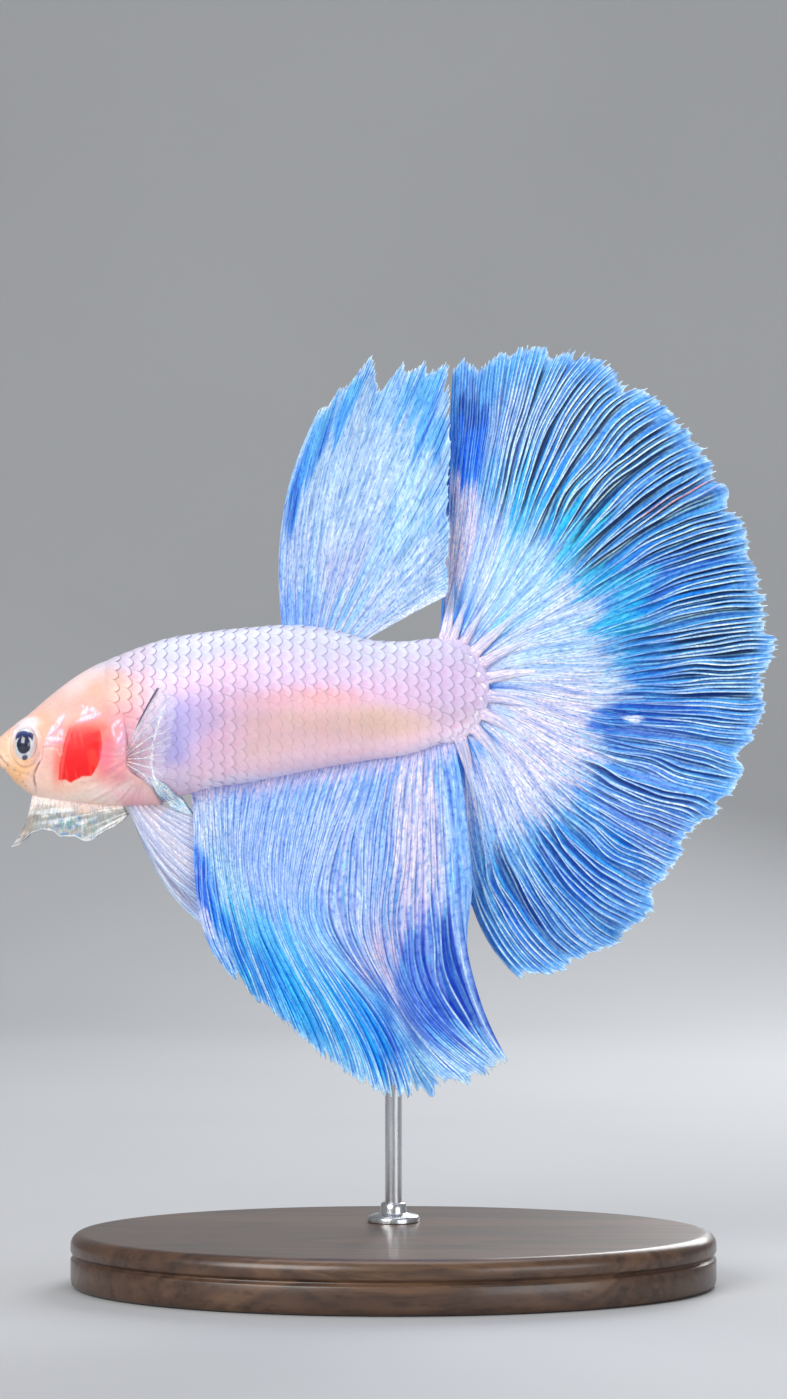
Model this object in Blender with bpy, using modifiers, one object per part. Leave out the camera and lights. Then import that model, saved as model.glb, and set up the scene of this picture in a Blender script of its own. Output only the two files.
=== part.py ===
"""Halfmoon betta (Siamese fighting fish), a still life-size museum model on a plain stand.

The fish faces -X with its left side towards -Y and its back up. It hovers on one bent steel
rod that stands on an oval wooden base. The fish is drawn in its own side view, in millimetres:
u runs back from the tip of the snout, h is the height above the body axis. The row's origin is
the centre of the base's underside.
"""
import math

import bmesh
import bpy
import numpy as np

for old in list(bpy.data.objects):
    bpy.data.objects.remove(old, do_unlink=True)

# ------------------------------------------------------------------ sizes, in millimetres
MM = 0.001
SNOUT_X = -37.25          # the snout tip, from the middle of the base
AXIS_Z = 54.4             # the body axis above the floor
GAP = 0.25                # the thin cut between neighbouring parts of the body
FIN_T = 0.55              # thickness of every fin and membrane

# the body: u, top, bottom, height of the widest line, half width
STATIONS = (
    (0.0, -3.3, -6.0, -4.7, 1.00),
    (1.0, -3.0, -6.5, -4.8, 1.65),
    (2.0, -2.3, -7.6, -5.0, 2.15),
    (3.2, -1.4, -8.6, -5.2, 2.62),
    (5.0, 0.15, -9.25, -5.2, 3.20),
    (8.0, 2.40, -9.70, -4.9, 3.95),
    (11.8, 4.30, -9.95, -4.1, 4.40),
    (15.5, 5.60, -9.60, -3.0, 4.55),
    (19.3, 6.30, -8.45, -1.9, 4.45),
    (24.0, 6.80, -7.65, -0.8, 4.10),
    (28.6, 7.05, -6.75, -0.1, 3.75),
    (32.3, 6.45, -6.05, 0.2, 3.35),
    (35.1, 5.65, -5.60, 0.2, 2.95),
    (38.8, 5.55, -5.05, 0.4, 2.35),
    (42.0, 5.95, -4.05, 0.9, 1.75),
    (46.2, 5.95, -4.05, 0.95, 1.15),
)
SNOUT_ROUND = 1.5         # length over which the snout closes to a blunt tip
SNOUT_TIP_H = -4.75
TAIL_HUB = (42.0, 0.95, 4.2, 5.0)      # u, h and the two radii of the rounded end of the tail root
EYE = (3.07, -4.05, 1.72)              # u, h and distance from the middle plane
EYE_R = (1.42, 1.25, 1.52)

# the rays of each fin, front to back: share of the base, length, lean at root, middle and tip
DORSAL_RAYS = (
    (0.0, 15.0, 95, 86, 71), (0.1, 20.4, 95, 81, 70), (0.2, 22.5, 91, 80, 68), (0.3, 25.3, 85, 78, 65),
    (0.45, 25.7, 77, 72, 66), (0.6, 26.6, 67, 67, 67), (0.7, 21.6, 61, 63, 68), (0.8, 15.0, 53, 54, 60),
    (0.9, 10.4, 41, 42, 42), (1.0, 7.8, 32, 28, 26))
ANAL_RAYS = (
    (0.0, 15.8, -80, -87, -56), (0.1, 20.4, -90, -77, -72), (0.2, 24.4, -95, -71, -78), (0.35, 28.1, -97, -71, -85),
    (0.5, 30.7, -99, -72, -89), (0.65, 31.3, -97, -76, -86), (0.8, 30.7, -92, -81, -68), (0.9, 30.4, -90, -81, -63),
    (1.0, 29.9, -80, -83, -58))
CAUDAL_RAYS = (
    (0.0, 25.4, 86, 88, 86), (0.083, 26.4, 78, 82, 83), (0.167, 28.1, 68, 76, 65), (0.25, 29.1, 56, 69, 34),
    (0.333, 28.3, 47, 52, 20), (0.417, 27.7, 36, 32, 11), (0.5, 26.6, 23, 15, 5), (0.583, 26.3, 6, 5, 0),
    (0.667, 24.5, -9, -8, -8), (0.75, 22.2, -24, -27, -17), (0.833, 23.1, -40, -45, -20),
    (0.917, 24.2, -61, -63, -26), (1.0, 23.5, -85, -80, -37))
PECTORAL_RAYS = (
    (0.0, 8.0, 55, 50, 44), (0.25, 6.2, 34, 32, 28), (0.5, 4.9, 12, 11, 8), (0.75, 4.2, -10, -12, -14),
    (1.0, 3.6, -34, -36, -38))
PELVIC_RAYS = (
    (0.0, 11.2, -68, -55, -30), (0.25, 10.4, -60, -45, -30), (0.5, 8.4, -48, -38, -28), (0.75, 6.4, -36, -30, -22),
    (1.0, 5.0, -22, -20, -16))
GILL_RAYS = (
    (0.0, 5.4, -97, -110, -128), (0.10, 3.6, -98, -104, -110), (0.2, 2.9, -96, -97, -98), (0.35, 3.3, -93, -93, -93),
    (0.5, 3.3, -88, -88, -87), (0.65, 2.6, -80, -80, -78), (0.82, 1.6, -74, -74, -72), (1.0, 0.7, -68, -68, -66))

BASE_LENGTH, BASE_DEPTH, BASE_HEIGHT = 60.0, 42.0, 5.0
ROD_R = 0.8
ROD_X, ROD_Y, ROD_TOP_H = 0.0, 7.4, 0.6      # where the rod stands, and the height at which it meets the flank


# ------------------------------------------------------------------ curves
def along(table, column, s):
    """A smooth curve through one column of a table whose first column is the place along it."""
    k = np.array([row[0] for row in table], float)
    y = np.array([row[column] for row in table], float)
    slope = np.gradient(y, k)
    s = np.clip(np.asarray(s, float), k[0], k[-1])
    i = np.clip(np.searchsorted(k, s, side="right") - 1, 0, len(k) - 2)
    w = k[i + 1] - k[i]
    t = (s - k[i]) / w
    return ((1 + 2 * t) * (1 - t) ** 2 * y[i] + t * (1 - t) ** 2 * w * slope[i]
            + t * t * (3 - 2 * t) * y[i + 1] + t * t * (t - 1) * w * slope[i + 1])


def ease(x):
    x = np.clip(x, 0.0, 1.0)
    return x * x * (3 - 2 * x)


def profile(u):
    """Top, bottom, height of the widest line and half width of the body at u."""
    u = np.asarray(u, float)
    top, bottom, belt, half = (along(STATIONS, c, u) for c in (1, 2, 3, 4))
    close = np.sqrt(np.clip(1 - (1 - np.clip(u / SNOUT_ROUND, 0, 1)) ** 2, 0, 1))
    top, bottom, belt = (SNOUT_TIP_H + (v - SNOUT_TIP_H) * close for v in (top, bottom, belt))
    hub_u, hub_h, ru, rh = TAIL_HUB
    end = np.sqrt(np.clip(1 - np.clip((u - hub_u) / ru, 0, 1) ** 2, 0, 1))
    back = u > hub_u
    top = np.where(back, hub_h + rh * end, top)
    bottom = np.where(back, hub_h - rh * end, bottom)
    belt = np.where(back, hub_h, belt)
    return top, bottom, belt, half * close * np.where(back, 0.35 + 0.65 * end, 1) * np.where(u >= hub_u + ru, 0, 1)


def body_point(u, v):
    """The skin at u and at the angle v round the section, 90 degrees at the back's ridge and -90 at the belly."""
    top, bottom, belt, half = profile(u)
    sin, cos = np.sin(v), np.cos(v)
    h = belt + np.where(sin > 0, top - belt, belt - bottom) * sin
    wide = np.where(sin > 0, 0.92, 0.80)
    return u, -half * np.sign(cos) * np.abs(cos) ** wide, h


def flank(u, h):
    """Half width of the body at u and height h."""
    top, bottom, belt, half = profile(u)
    sin = np.clip(np.where(h > belt, (h - belt) / (top - belt), (h - belt) / (belt - bottom)), -1, 1)
    return half * np.sqrt(1 - sin * sin) ** np.where(sin > 0, 0.92, 0.80)


def ray_paths(rays, s, t, steps=28):
    """Run of each ray from its root, in u and h, at the shares t of its length: the lean turns smoothly from root to tip."""
    length, root, middle, tip = (along(rays, c, s) for c in (1, 2, 3, 4))
    g = (np.arange(steps) + 0.5) / steps
    lean = np.radians(root[:, None] * (1 - g) * (1 - 2 * g) + 4 * middle[:, None] * g * (1 - g)
                      + tip[:, None] * g * (2 * g - 1))
    zero = np.zeros((len(s), 1))
    run = np.concatenate([zero, np.cumsum(np.cos(lean), axis=1)], 1) / steps
    rise = np.concatenate([zero, np.cumsum(np.sin(lean), axis=1)], 1) / steps
    at = np.linspace(0, 1, steps + 1)
    du = np.array([np.interp(t, at, r) for r in run]) * length[:, None]
    dh = np.array([np.interp(t, at, r) for r in rise]) * length[:, None]
    return du, dh


def world(u, y, h):
    return (np.asarray(u) + SNOUT_X) * MM, np.asarray(y) * MM, (np.asarray(h) + AXIS_Z) * MM


# ------------------------------------------------------------------ scene helpers
model = bpy.data.collections.new("halfmoon_betta")
cutters = bpy.data.collections.new("cutters")
for c in (model, cutters):
    bpy.context.scene.collection.children.link(c)


def material(name, colour, rough, metallic=0.0):
    m = bpy.data.materials.new(name)
    m.use_nodes = True
    b = m.node_tree.nodes["Principled BSDF"]
    b.inputs["Base Color"].default_value = (*colour, 1)
    b.inputs["Roughness"].default_value = rough
    b.inputs["Metallic"].default_value = metallic
    return m


SKIN = material("skin", (0.80, 0.62, 0.70), 0.38)
HEAD = material("head_skin", (0.88, 0.60, 0.42), 0.40)
GILL = material("gill_cover", (0.85, 0.18, 0.12), 0.35)
FIN = material("fin", (0.36, 0.55, 0.88), 0.42)
CLEAR = material("clear_fin", (0.72, 0.76, 0.84), 0.35)
EYEBALL = material("eyeball", (0.78, 0.82, 0.88), 0.08)
WOOD = material("walnut", (0.16, 0.08, 0.04), 0.45)
STEEL = material("steel", (0.72, 0.73, 0.74), 0.25, 1.0)


def object_from(bm, name, mat=None, collection=None):
    mesh = bpy.data.meshes.new(name)
    bm.normal_update()
    if bm.calc_volume(signed=True) < 0:
        bmesh.ops.reverse_faces(bm, faces=bm.faces)
    bm.to_mesh(mesh)
    bm.free()
    obj = bpy.data.objects.new(name, mesh)
    (collection or model).objects.link(obj)
    if mat:
        mesh.materials.append(mat)
    for p in mesh.polygons:
        p.use_smooth = True
    return obj


def cutter_from(bm, name):
    obj = object_from(bm, name, None, cutters)
    obj.hide_render = True
    obj.display_type = "WIRE"
    return obj


def boolean(obj, other, operation):
    m = obj.modifiers.new(operation.lower() + "_" + other.name, "BOOLEAN")
    m.operation = operation
    m.object = other
    m.solver = "EXACT"


def prism(name, outline, y0, y1, turn=0.0, about=(0.0, 0.0)):
    """A block with the side-view outline (a list of u, h), from y0 to y1, turned about a vertical line at about = (u, y)."""
    bm = bmesh.new()
    ring = [bm.verts.new((u, y0, h)) for u, h in outline]
    face = bm.faces.new(ring)
    made = bmesh.ops.extrude_face_region(bm, geom=[face])
    moved = [g for g in made["geom"] if isinstance(g, bmesh.types.BMVert)]
    bmesh.ops.translate(bm, verts=moved, vec=(0, y1 - y0, 0))
    c, s = math.cos(turn), math.sin(turn)
    for v in bm.verts:
        du, dy = v.co.x - about[0], v.co.y - about[1]
        u, y = about[0] + c * du - s * dy, about[1] + s * du + c * dy
        v.co = world(u, y, v.co.z)
    bmesh.ops.recalc_face_normals(bm, faces=bm.faces)
    return cutter_from(bm, name)


def oval(u, h, ru, rh, power=2.0, count=30):
    """A rounded outline in the side view; power above 2 makes it squarer."""
    turns = [2 * math.pi * i / count for i in range(count)]
    return [(u + ru * math.copysign(abs(math.cos(a)) ** (2 / power), math.cos(a)),
             h + rh * math.copysign(abs(math.sin(a)) ** (2 / power), math.sin(a))) for a in turns]


# ------------------------------------------------------------------ the body, one closed form
def whole_body(name, mat):
    """A ball whose poles are drawn out to the snout and the tail root and whose rings take the body's sections."""
    bm = bmesh.new()
    rings, around = 34, 22
    bmesh.ops.create_uvsphere(bm, u_segments=around, v_segments=rings, radius=1.0)
    end = TAIL_HUB[0] + TAIL_HUB[2]
    for v in bm.verts:
        polar = math.acos(max(-1.0, min(1.0, v.co.z)))          # 0 at the snout
        share = polar / math.pi
        # rings lie closer at both ends, where the form closes
        u = end * (0.5 - 0.5 * math.cos(math.pi * share)) ** 1.12
        angle = math.atan2(v.co.y, v.co.x)
        p = body_point(np.float64(u), np.float64(angle))
        v.co = world(*p)
    bmesh.ops.recalc_face_normals(bm, faces=bm.faces)
    return object_from(bm, name, mat)


def ellipsoid(name, centre, radii, mat=None, segments=16, rings=10):
    bm = bmesh.new()
    bmesh.ops.create_uvsphere(bm, u_segments=segments, v_segments=rings, radius=1.0)
    for v in bm.verts:      # the poles look sideways
        v.co = world(centre[0] + radii[0] * v.co.x, centre[1] + radii[1] * v.co.z, centre[2] + radii[2] * v.co.y)
    return object_from(bm, name, mat) if mat else cutter_from(bm, name)


# zones of the side view that part the body
HEAD_ARC = (2.0, -4.6, 10.6)            # the gill opening: centre u, h and radius
head_in = prism("zone_head", oval(HEAD_ARC[0], HEAD_ARC[1], HEAD_ARC[2], HEAD_ARC[2], count=48), -8, 8)
head_out = prism("zone_head_gap", oval(HEAD_ARC[0], HEAD_ARC[1], HEAD_ARC[2] + GAP, HEAD_ARC[2] + GAP, count=48), -8, 8)
ROOT_ARC = (49.6, 0.95, 10.4)           # the wrist of the tail
root_in = prism("zone_tail_root", oval(ROOT_ARC[0], ROOT_ARC[1], ROOT_ARC[2], ROOT_ARC[2], count=48), -8, 8)
root_out = prism("zone_tail_root_gap", oval(ROOT_ARC[0], ROOT_ARC[1], ROOT_ARC[2] + GAP, ROOT_ARC[2] + GAP, count=48), -8, 8)
JAW = ((-3.0, -4.95), (1.6, -5.25), (3.3, -7.2), (3.9, -9.6), (3.4, -12.0), (-3.0, -12.0))
JAW_GAP = ((-3.0, -4.95 + GAP), (1.72, -5.25 + GAP), (3.3 + GAP, -7.15), (3.9 + GAP, -9.6), (3.4 + GAP, -12.5), (-3.5, -12.5))
jaw_in = prism("zone_jaw", JAW, -6, 6)
jaw_out = prism("zone_jaw_gap", JAW_GAP, -6, 6)
COVER = (9.3, -4.9, 4.55, 4.15)         # the gill cover: centre and half sizes, its back edge is the gill opening
COVER_DEPTH = 1.15                      # thickness of the cover
COVER_TURN = math.radians(11.0)         # the cheeks widen backwards


def cover_zone(name, side, more):
    inner = 3.75 - COVER_DEPTH - more   # distance of the inner face from the middle plane, at the cover's middle
    outline = oval(COVER[0], COVER[1], COVER[2] + more, COVER[3] + more, 2.6)
    y0, y1 = (-9.0, -inner) if side < 0 else (inner, 9.0)
    return prism(name, outline, y0, y1, -COVER_TURN if side < 0 else COVER_TURN, (8.2, y1 if side < 0 else y0))


covers_in = {side: cover_zone(f"zone_cover_{side}", side, 0.0) for side in (-1, 1)}
covers_out = {side: cover_zone(f"zone_cover_gap_{side}", side, GAP) for side in (-1, 1)}
eye_gaps = {side: ellipsoid(f"socket_{side}", (EYE[0], side * EYE[2], EYE[1]), [r + GAP for r in EYE_R])
            for side in (-1, 1)}

head = whole_body("head", HEAD)
boolean(head, head_in, "INTERSECT")
boolean(head, jaw_out, "DIFFERENCE")
for side in (-1, 1):
    boolean(head, covers_out[side], "DIFFERENCE")
    boolean(head, eye_gaps[side], "DIFFERENCE")

jaw = whole_body("lower_jaw", HEAD)
boolean(jaw, jaw_in, "INTERSECT")

for side, word in ((-1, "left"), (1, "right")):
    cover = whole_body("gill_cover_" + word, GILL)
    boolean(cover, head_in, "INTERSECT")
    boolean(cover, covers_in[side], "INTERSECT")
    ellipsoid("eye_" + word, (EYE[0], side * EYE[2], EYE[1]), EYE_R, EYEBALL, 16, 9)

trunk = whole_body("trunk", SKIN)
boolean(trunk, head_out, "DIFFERENCE")
boolean(trunk, root_out, "DIFFERENCE")

tail_root = whole_body("tail_root", SKIN)
boolean(tail_root, root_in, "INTERSECT")


# ------------------------------------------------------------------ fins
def fin(name, rays, base, side, columns, rows, mat, teeth=None, start=0.0):
    """An open sheet of rays from the base line, thickened evenly. base(s) gives u, h of a ray's root, side(s, t, u, h)
    the distance from the middle plane, and teeth(s) the share of the full length that the margin reaches."""
    bm = bmesh.new()
    bmesh.ops.create_grid(bm, x_segments=columns, y_segments=rows, size=0.5)
    bm.verts.ensure_lookup_table()
    co = np.array([v.co for v in bm.verts])
    s_all, t_all = co[:, 0] + 0.5, co[:, 1] + 0.5
    for i, s in enumerate(np.round(s_all, 6)):
        reach = 1.0 if teeth is None else float(teeth(s))
        t = start + (t_all[i] * reach) * (1 - start)
        du, dh = ray_paths(rays, np.array([s]), np.array([t]))
        bu, bh = base(s)
        u, h = bu + du[0, 0], bh + dh[0, 0]
        bm.verts[i].co = world(u, side(s, t, u, h), h)
    bmesh.ops.recalc_face_normals(bm, faces=bm.faces)
    obj = object_from(bm, name, mat)
    thick = obj.modifiers.new("thickness", "SOLIDIFY")
    thick.thickness = FIN_T * MM
    thick.offset = 0.0
    thick.use_even_offset = False
    return obj


def tooth(s, count, depth, skew=0.5):
    """A saw-edged margin: each ray group ends in a point."""
    x = (s * count) % 1.0
    up = np.where(x < skew, x / skew, (1 - x) / (1 - skew))
    return 1 - depth * (1 - up)


# dorsal fin, on the ridge of the back, leaning a little to the left at its rear edge
def dorsal_base(s):
    u = 26.85 + 8.1 * s
    return u, float(profile(u)[0]) + 0.32


def dorsal_side(s, t, u, h):
    return -1.15 * ease((s - 0.35) / 0.65) * ease(t / 0.5) - 0.55 * math.sin(2 * math.pi * (1.15 * s + 0.1)) * ease(t) ** 1.2


def dorsal_teeth(s):
    return tooth(s + 0.04, 7.0, 0.085 * (1 - 0.8 * ease((s - 0.62) / 0.2)), 0.62)


fin("dorsal_fin", DORSAL_RAYS, dorsal_base, dorsal_side, 22, 9, FIN, dorsal_teeth)


# anal fin, along the whole belly ridge; its front edge and its rear edge swing to the left
def anal_base(s):
    u = 18.5 + 23.3 * s
    return u, float(profile(u)[1]) - 0.32


def anal_side(s, t, u, h):
    drop = ease(t / 0.22)
    front = -1.75 * (1 - ease(s / 0.22)) * drop
    rear = -1.15 * ease((s - 0.78) / 0.22) * drop
    wave = 1.5 * math.sin(2 * math.pi * (1.55 * s - 0.35 * t + 0.28)) * ease((t - 0.1) / 0.9)
    return front + rear + wave * ease(s / 0.18) * (1 - 0.75 * ease((s - 0.8) / 0.2))


def anal_teeth(s):
    return tooth(s, 11.0, 0.022, 0.6)


fin("anal_fin", ANAL_RAYS, anal_base, anal_side, 31, 10, FIN, anal_teeth)


# caudal fin, a fan of more than a half circle round the rounded tail root
CAUDAL_FROM, CAUDAL_TO = math.radians(94), math.radians(-78)


def caudal_base(s):
    a = CAUDAL_FROM + (CAUDAL_TO - CAUDAL_FROM) * s
    return TAIL_HUB[0] + (TAIL_HUB[2] + 0.36) * math.cos(a), TAIL_HUB[1] + (TAIL_HUB[3] + 0.40) * math.sin(a)


def caudal_side(s, t, u, h):
    edges = (1 - ease(s / 0.16)) + ease((s - 0.86) / 0.14)
    wave = 1.9 * math.sin(2 * math.pi * (2.05 * s + 0.12)) * ease((t - 0.08) / 0.92) ** 1.15
    return 1.25 * edges * ease(t / 0.12) + wave * (1 - 0.8 * edges)


def caudal_teeth(s):
    return 1 - 0.012 * (1 - abs(math.sin(math.pi * 9.5 * s))) - 0.008 * (1 - abs(math.sin(math.pi * 22 * s + 0.6)))


fin("caudal_fin", CAUDAL_RAYS, caudal_base, caudal_side, 40, 9, FIN, caudal_teeth)

# the paired fins and the skirt of the gill membranes
for side, word in ((-1, "left"), (1, "right")):
    def pectoral_base(s):
        return 12.75 + 0.15 * math.sin(math.pi * s), -4.35 - 1.7 * s

    def pectoral_side(s, t, u, h, side=side):
        bu, bh = pectoral_base(s)
        out = float(flank(bu, bh)) + 0.30 + FIN_T / 2
        return side * (out + 2.3 * math.sin(0.5 * math.pi * t) ** 1.3 + 0.18 * math.sin(math.pi * s) * t)

    fin("pectoral_fin_" + word, PECTORAL_RAYS, pectoral_base, pectoral_side, 8, 6, CLEAR)

    # the right pelvic fin hangs a little lower and reaches a little further than the left one
    more = 1.0 if side < 0 else 1.2
    dip = 0.0 if side < 0 else -5.0
    rays = tuple((k, length * more, a + dip, b + dip, c + dip) for k, length, a, b, c in PELVIC_RAYS)

    def pelvic_base(s):
        u = 12.55 + 2.7 * s
        return u, float(profile(u)[1]) - 0.40

    def pelvic_side(s, t, u, h, side=side):
        return side * (0.95 + 0.35 * math.sin(math.pi * t) - (0.35 if side < 0 else 0.1) * t + 0.12 * math.sin(5 * s))

    fin("pelvic_fin_" + word, rays, pelvic_base, pelvic_side, 8, 7, FIN)

    def gill_base(s):
        u = 3.75 + 8.3 * s
        return u, float(profile(u)[1]) - 0.35

    def gill_side(s, t, u, h, side=side):
        return side * (0.75 + 0.65 * ease(s / 0.3) + (0.35 + 1.1 * math.sin(math.pi * (0.12 + 0.8 * s))) * t
                       + 0.22 * math.sin(2 * math.pi * 2.4 * s) * t)

    fin("gill_membrane_" + word, GILL_RAYS, gill_base, gill_side, 14, 4, CLEAR)


# ------------------------------------------------------------------ the stand
bpy.ops.mesh.primitive_cylinder_add(vertices=48, radius=0.5, depth=1.0)
base = bpy.context.object
base.name = base.data.name = "stand_base"
for c in list(base.users_collection):
    c.objects.unlink(base)
model.objects.link(base)
for v in base.data.vertices:
    v.co = (v.co.x * BASE_LENGTH * MM, v.co.y * BASE_DEPTH * MM, (v.co.z + 0.5) * BASE_HEIGHT * MM)
base.data.materials.append(WOOD)
round_over = base.modifiers.new("round_over", "BEVEL")
round_over.width = 0.9 * MM
round_over.segments = 2
round_over.limit_method = "ANGLE"
base.data.shade_smooth()
base.data.set_sharp_from_angle(angle=math.radians(40))


def rod_route():
    """Up behind the anal fin, then in a quarter bend to the right flank, which it meets squarely."""
    top = AXIS_Z + ROD_TOP_H
    u = ROD_X - SNOUT_X
    meet = float(flank(u, ROD_TOP_H)) + 0.30
    radius = ROD_Y - meet - 0.6
    points = [(ROD_X, ROD_Y, BASE_HEIGHT + 0.12), (ROD_X, ROD_Y, BASE_HEIGHT + 12), (ROD_X, ROD_Y, BASE_HEIGHT + 26)]
    for i in range(9):
        a = math.pi / 2 * i / 8
        points.append((ROD_X, ROD_Y - radius * (1 - math.cos(a)), top - radius + radius * math.sin(a)))
    points.append((ROD_X, meet, top))
    return points


route = rod_route()
curve = bpy.data.curves.new("stand_rod", "CURVE")
curve.dimensions = "3D"
curve.bevel_depth = ROD_R * MM
curve.bevel_resolution = 2
curve.use_fill_caps = True
line = curve.splines.new("POLY")
line.points.add(len(route) - 1)
for p, q in zip(line.points, route):
    p.co = (q[0] * MM, q[1] * MM, q[2] * MM, 1)
rod = bpy.data.objects.new("stand_rod", curve)
curve.materials.append(STEEL)
model.objects.link(rod)
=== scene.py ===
"""Looks of the halfmoon betta display model: one modelled skin, scale plates over it, glossy eyes, pleated fins with
forking rays, and the stand. All sizes below are in millimetres in the fish's own side view, as in the CAD: u runs back
from the tip of the snout, h is the height above the body axis, y is the distance from the middle plane, and the left
side is -y. world() turns them into metres in the shared frame."""
import math

import bmesh
import bpy
import numpy as np
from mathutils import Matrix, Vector

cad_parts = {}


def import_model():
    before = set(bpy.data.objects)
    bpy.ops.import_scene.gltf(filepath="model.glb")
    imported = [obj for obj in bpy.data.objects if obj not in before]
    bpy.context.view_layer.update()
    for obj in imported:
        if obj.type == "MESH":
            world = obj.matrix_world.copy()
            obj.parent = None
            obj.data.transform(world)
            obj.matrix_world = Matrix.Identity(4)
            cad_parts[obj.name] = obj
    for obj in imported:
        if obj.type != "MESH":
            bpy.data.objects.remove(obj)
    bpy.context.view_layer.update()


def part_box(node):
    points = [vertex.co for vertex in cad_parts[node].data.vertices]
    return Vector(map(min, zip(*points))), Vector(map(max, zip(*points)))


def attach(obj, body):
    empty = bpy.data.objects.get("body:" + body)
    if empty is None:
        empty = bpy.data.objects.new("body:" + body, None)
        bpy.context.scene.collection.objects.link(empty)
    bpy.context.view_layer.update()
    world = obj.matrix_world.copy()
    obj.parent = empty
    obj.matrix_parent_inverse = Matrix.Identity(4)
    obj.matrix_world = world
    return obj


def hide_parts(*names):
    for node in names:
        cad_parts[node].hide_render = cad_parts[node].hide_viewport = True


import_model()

MM = 0.001
TRUNK_LO, TRUNK_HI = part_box("trunk")
HEAD_LO, HEAD_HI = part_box("head")
JAW_LO, JAW_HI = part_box("lower_jaw")
SNOUT_X = -37.25                     # the snout tip
AXIS_Z = 54.4                        # the body axis
FIN_LO, FIN_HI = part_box("caudal_fin")


# ------------------------------------------------------------------ small mathematics
def smooth(x, a=0.0, b=1.0):
    x = np.clip((np.asarray(x, float) - a) / (b - a), 0.0, 1.0)
    return x * x * (3 - 2 * x)


def bell(x, width):
    return np.exp(-(np.asarray(x, float) / width) ** 2)


def mix(a, b, w):
    w = np.asarray(w, float)[..., None]
    return np.asarray(a, float) * (1 - w) + np.asarray(b, float) * w


def hashed(ix, iy, seed):
    """A repeatable number from 0 to 1 for each lattice point."""
    v = (ix.astype(np.int64) * 374761393 + iy.astype(np.int64) * 668265263 + seed * 974634777) & 0xFFFFFFFF
    v = ((v ^ (v >> 13)) * 1274126177) & 0xFFFFFFFF
    v = ((v ^ (v >> 16)) * 2246822519) & 0xFFFFFFFF
    return ((v ^ (v >> 15)) & 0xFFFFFF) / float(0xFFFFFF)


def noise(x, y, seed=0):
    """Smooth noise from -1 to 1."""
    x, y = np.broadcast_arrays(np.asarray(x, float), np.asarray(y, float))
    ix, iy = np.floor(x), np.floor(y)
    fx, fy = x - ix, y - iy
    fx, fy = fx * fx * (3 - 2 * fx), fy * fy * (3 - 2 * fy)
    a, b = hashed(ix, iy, seed), hashed(ix + 1, iy, seed)
    c, d = hashed(ix, iy + 1, seed), hashed(ix + 1, iy + 1, seed)
    return 2 * (a * (1 - fx) * (1 - fy) + b * fx * (1 - fy) + c * (1 - fx) * fy + d * fx * fy) - 1


def turbulence(x, y, seed=0, octaves=3):
    total, gain, norm = 0.0, 1.0, 0.0
    for k in range(octaves):
        total = total + gain * noise(np.asarray(x) * 2 ** k, np.asarray(y) * 2 ** k, seed + 17 * k)
        norm += gain
        gain *= 0.5
    return total / norm


def along(table, column, s):
    """A smooth curve through one column of a table whose first column is the place along it."""
    k = np.array([row[0] for row in table], float)
    y = np.array([row[column] for row in table], float)
    slope = np.gradient(y, k)
    s = np.clip(np.asarray(s, float), k[0], k[-1])
    i = np.clip(np.searchsorted(k, s, side="right") - 1, 0, len(k) - 2)
    w = k[i + 1] - k[i]
    t = (s - k[i]) / w
    return ((1 + 2 * t) * (1 - t) ** 2 * y[i] + t * (1 - t) ** 2 * w * slope[i]
            + t * t * (3 - 2 * t) * y[i + 1] + t * t * (t - 1) * w * slope[i + 1])


def near_line(u, h, points):
    """Distance from (u, h) to an open line through a few points, and the share of the line reached."""
    best, place = np.full(np.shape(u), 1e9), np.zeros(np.shape(u))
    n = len(points) - 1
    for i in range(n):
        (a, b), (c, d) = points[i], points[i + 1]
        k = np.clip(((u - a) * (c - a) + (h - b) * (d - b)) / ((c - a) ** 2 + (d - b) ** 2), 0, 1)
        dist = np.hypot(u - a - k * (c - a), h - b - k * (d - b))
        nearer = dist < best
        best, place = np.where(nearer, dist, best), np.where(nearer, (i + k) / n, place)
    return best, place


# ------------------------------------------------------------------ the body's form, as in the CAD
STATIONS = (
    (0.0, -3.3, -6.0, -4.7, 1.00), (1.0, -3.0, -6.5, -4.8, 1.65), (2.0, -2.3, -7.6, -5.0, 2.15),
    (3.2, -1.4, -8.6, -5.2, 2.62), (5.0, 0.15, -9.25, -5.2, 3.20), (8.0, 2.40, -9.70, -4.9, 3.95),
    (11.8, 4.30, -9.95, -4.1, 4.40), (15.5, 5.60, -9.60, -3.0, 4.55), (19.3, 6.30, -8.45, -1.9, 4.45),
    (24.0, 6.80, -7.65, -0.8, 4.10), (28.6, 7.05, -6.75, -0.1, 3.75), (32.3, 6.45, -6.05, 0.2, 3.35),
    (35.1, 5.65, -5.60, 0.2, 2.95), (38.8, 5.55, -5.05, 0.4, 2.35), (42.0, 5.95, -4.05, 0.9, 1.75),
    (46.2, 5.95, -4.05, 0.95, 1.15))
SNOUT_ROUND, SNOUT_TIP_H = 1.5, -4.75
TAIL_HUB = (42.0, 0.95, 4.2, 5.0)
BODY_END = TAIL_HUB[0] + TAIL_HUB[2]
EYE_U, EYE_H, EYE_Y = 3.24, -4.17, 1.74
EYE_RU, EYE_RY, EYE_RH = 1.18, 1.22, 1.66
GILL_ARC = (2.2, -4.6, 10.6)         # centre and radius of the gill opening, above the side fin
GILL_SLIT = ((-11.0, 16.2), (-9.9, 15.95), (-9.0, 15.6), (-8.1, 15.1), (-7.25, 14.25), (-6.75, 13.4), (-6.3, 12.92), (-5.9, 12.72))


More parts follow.
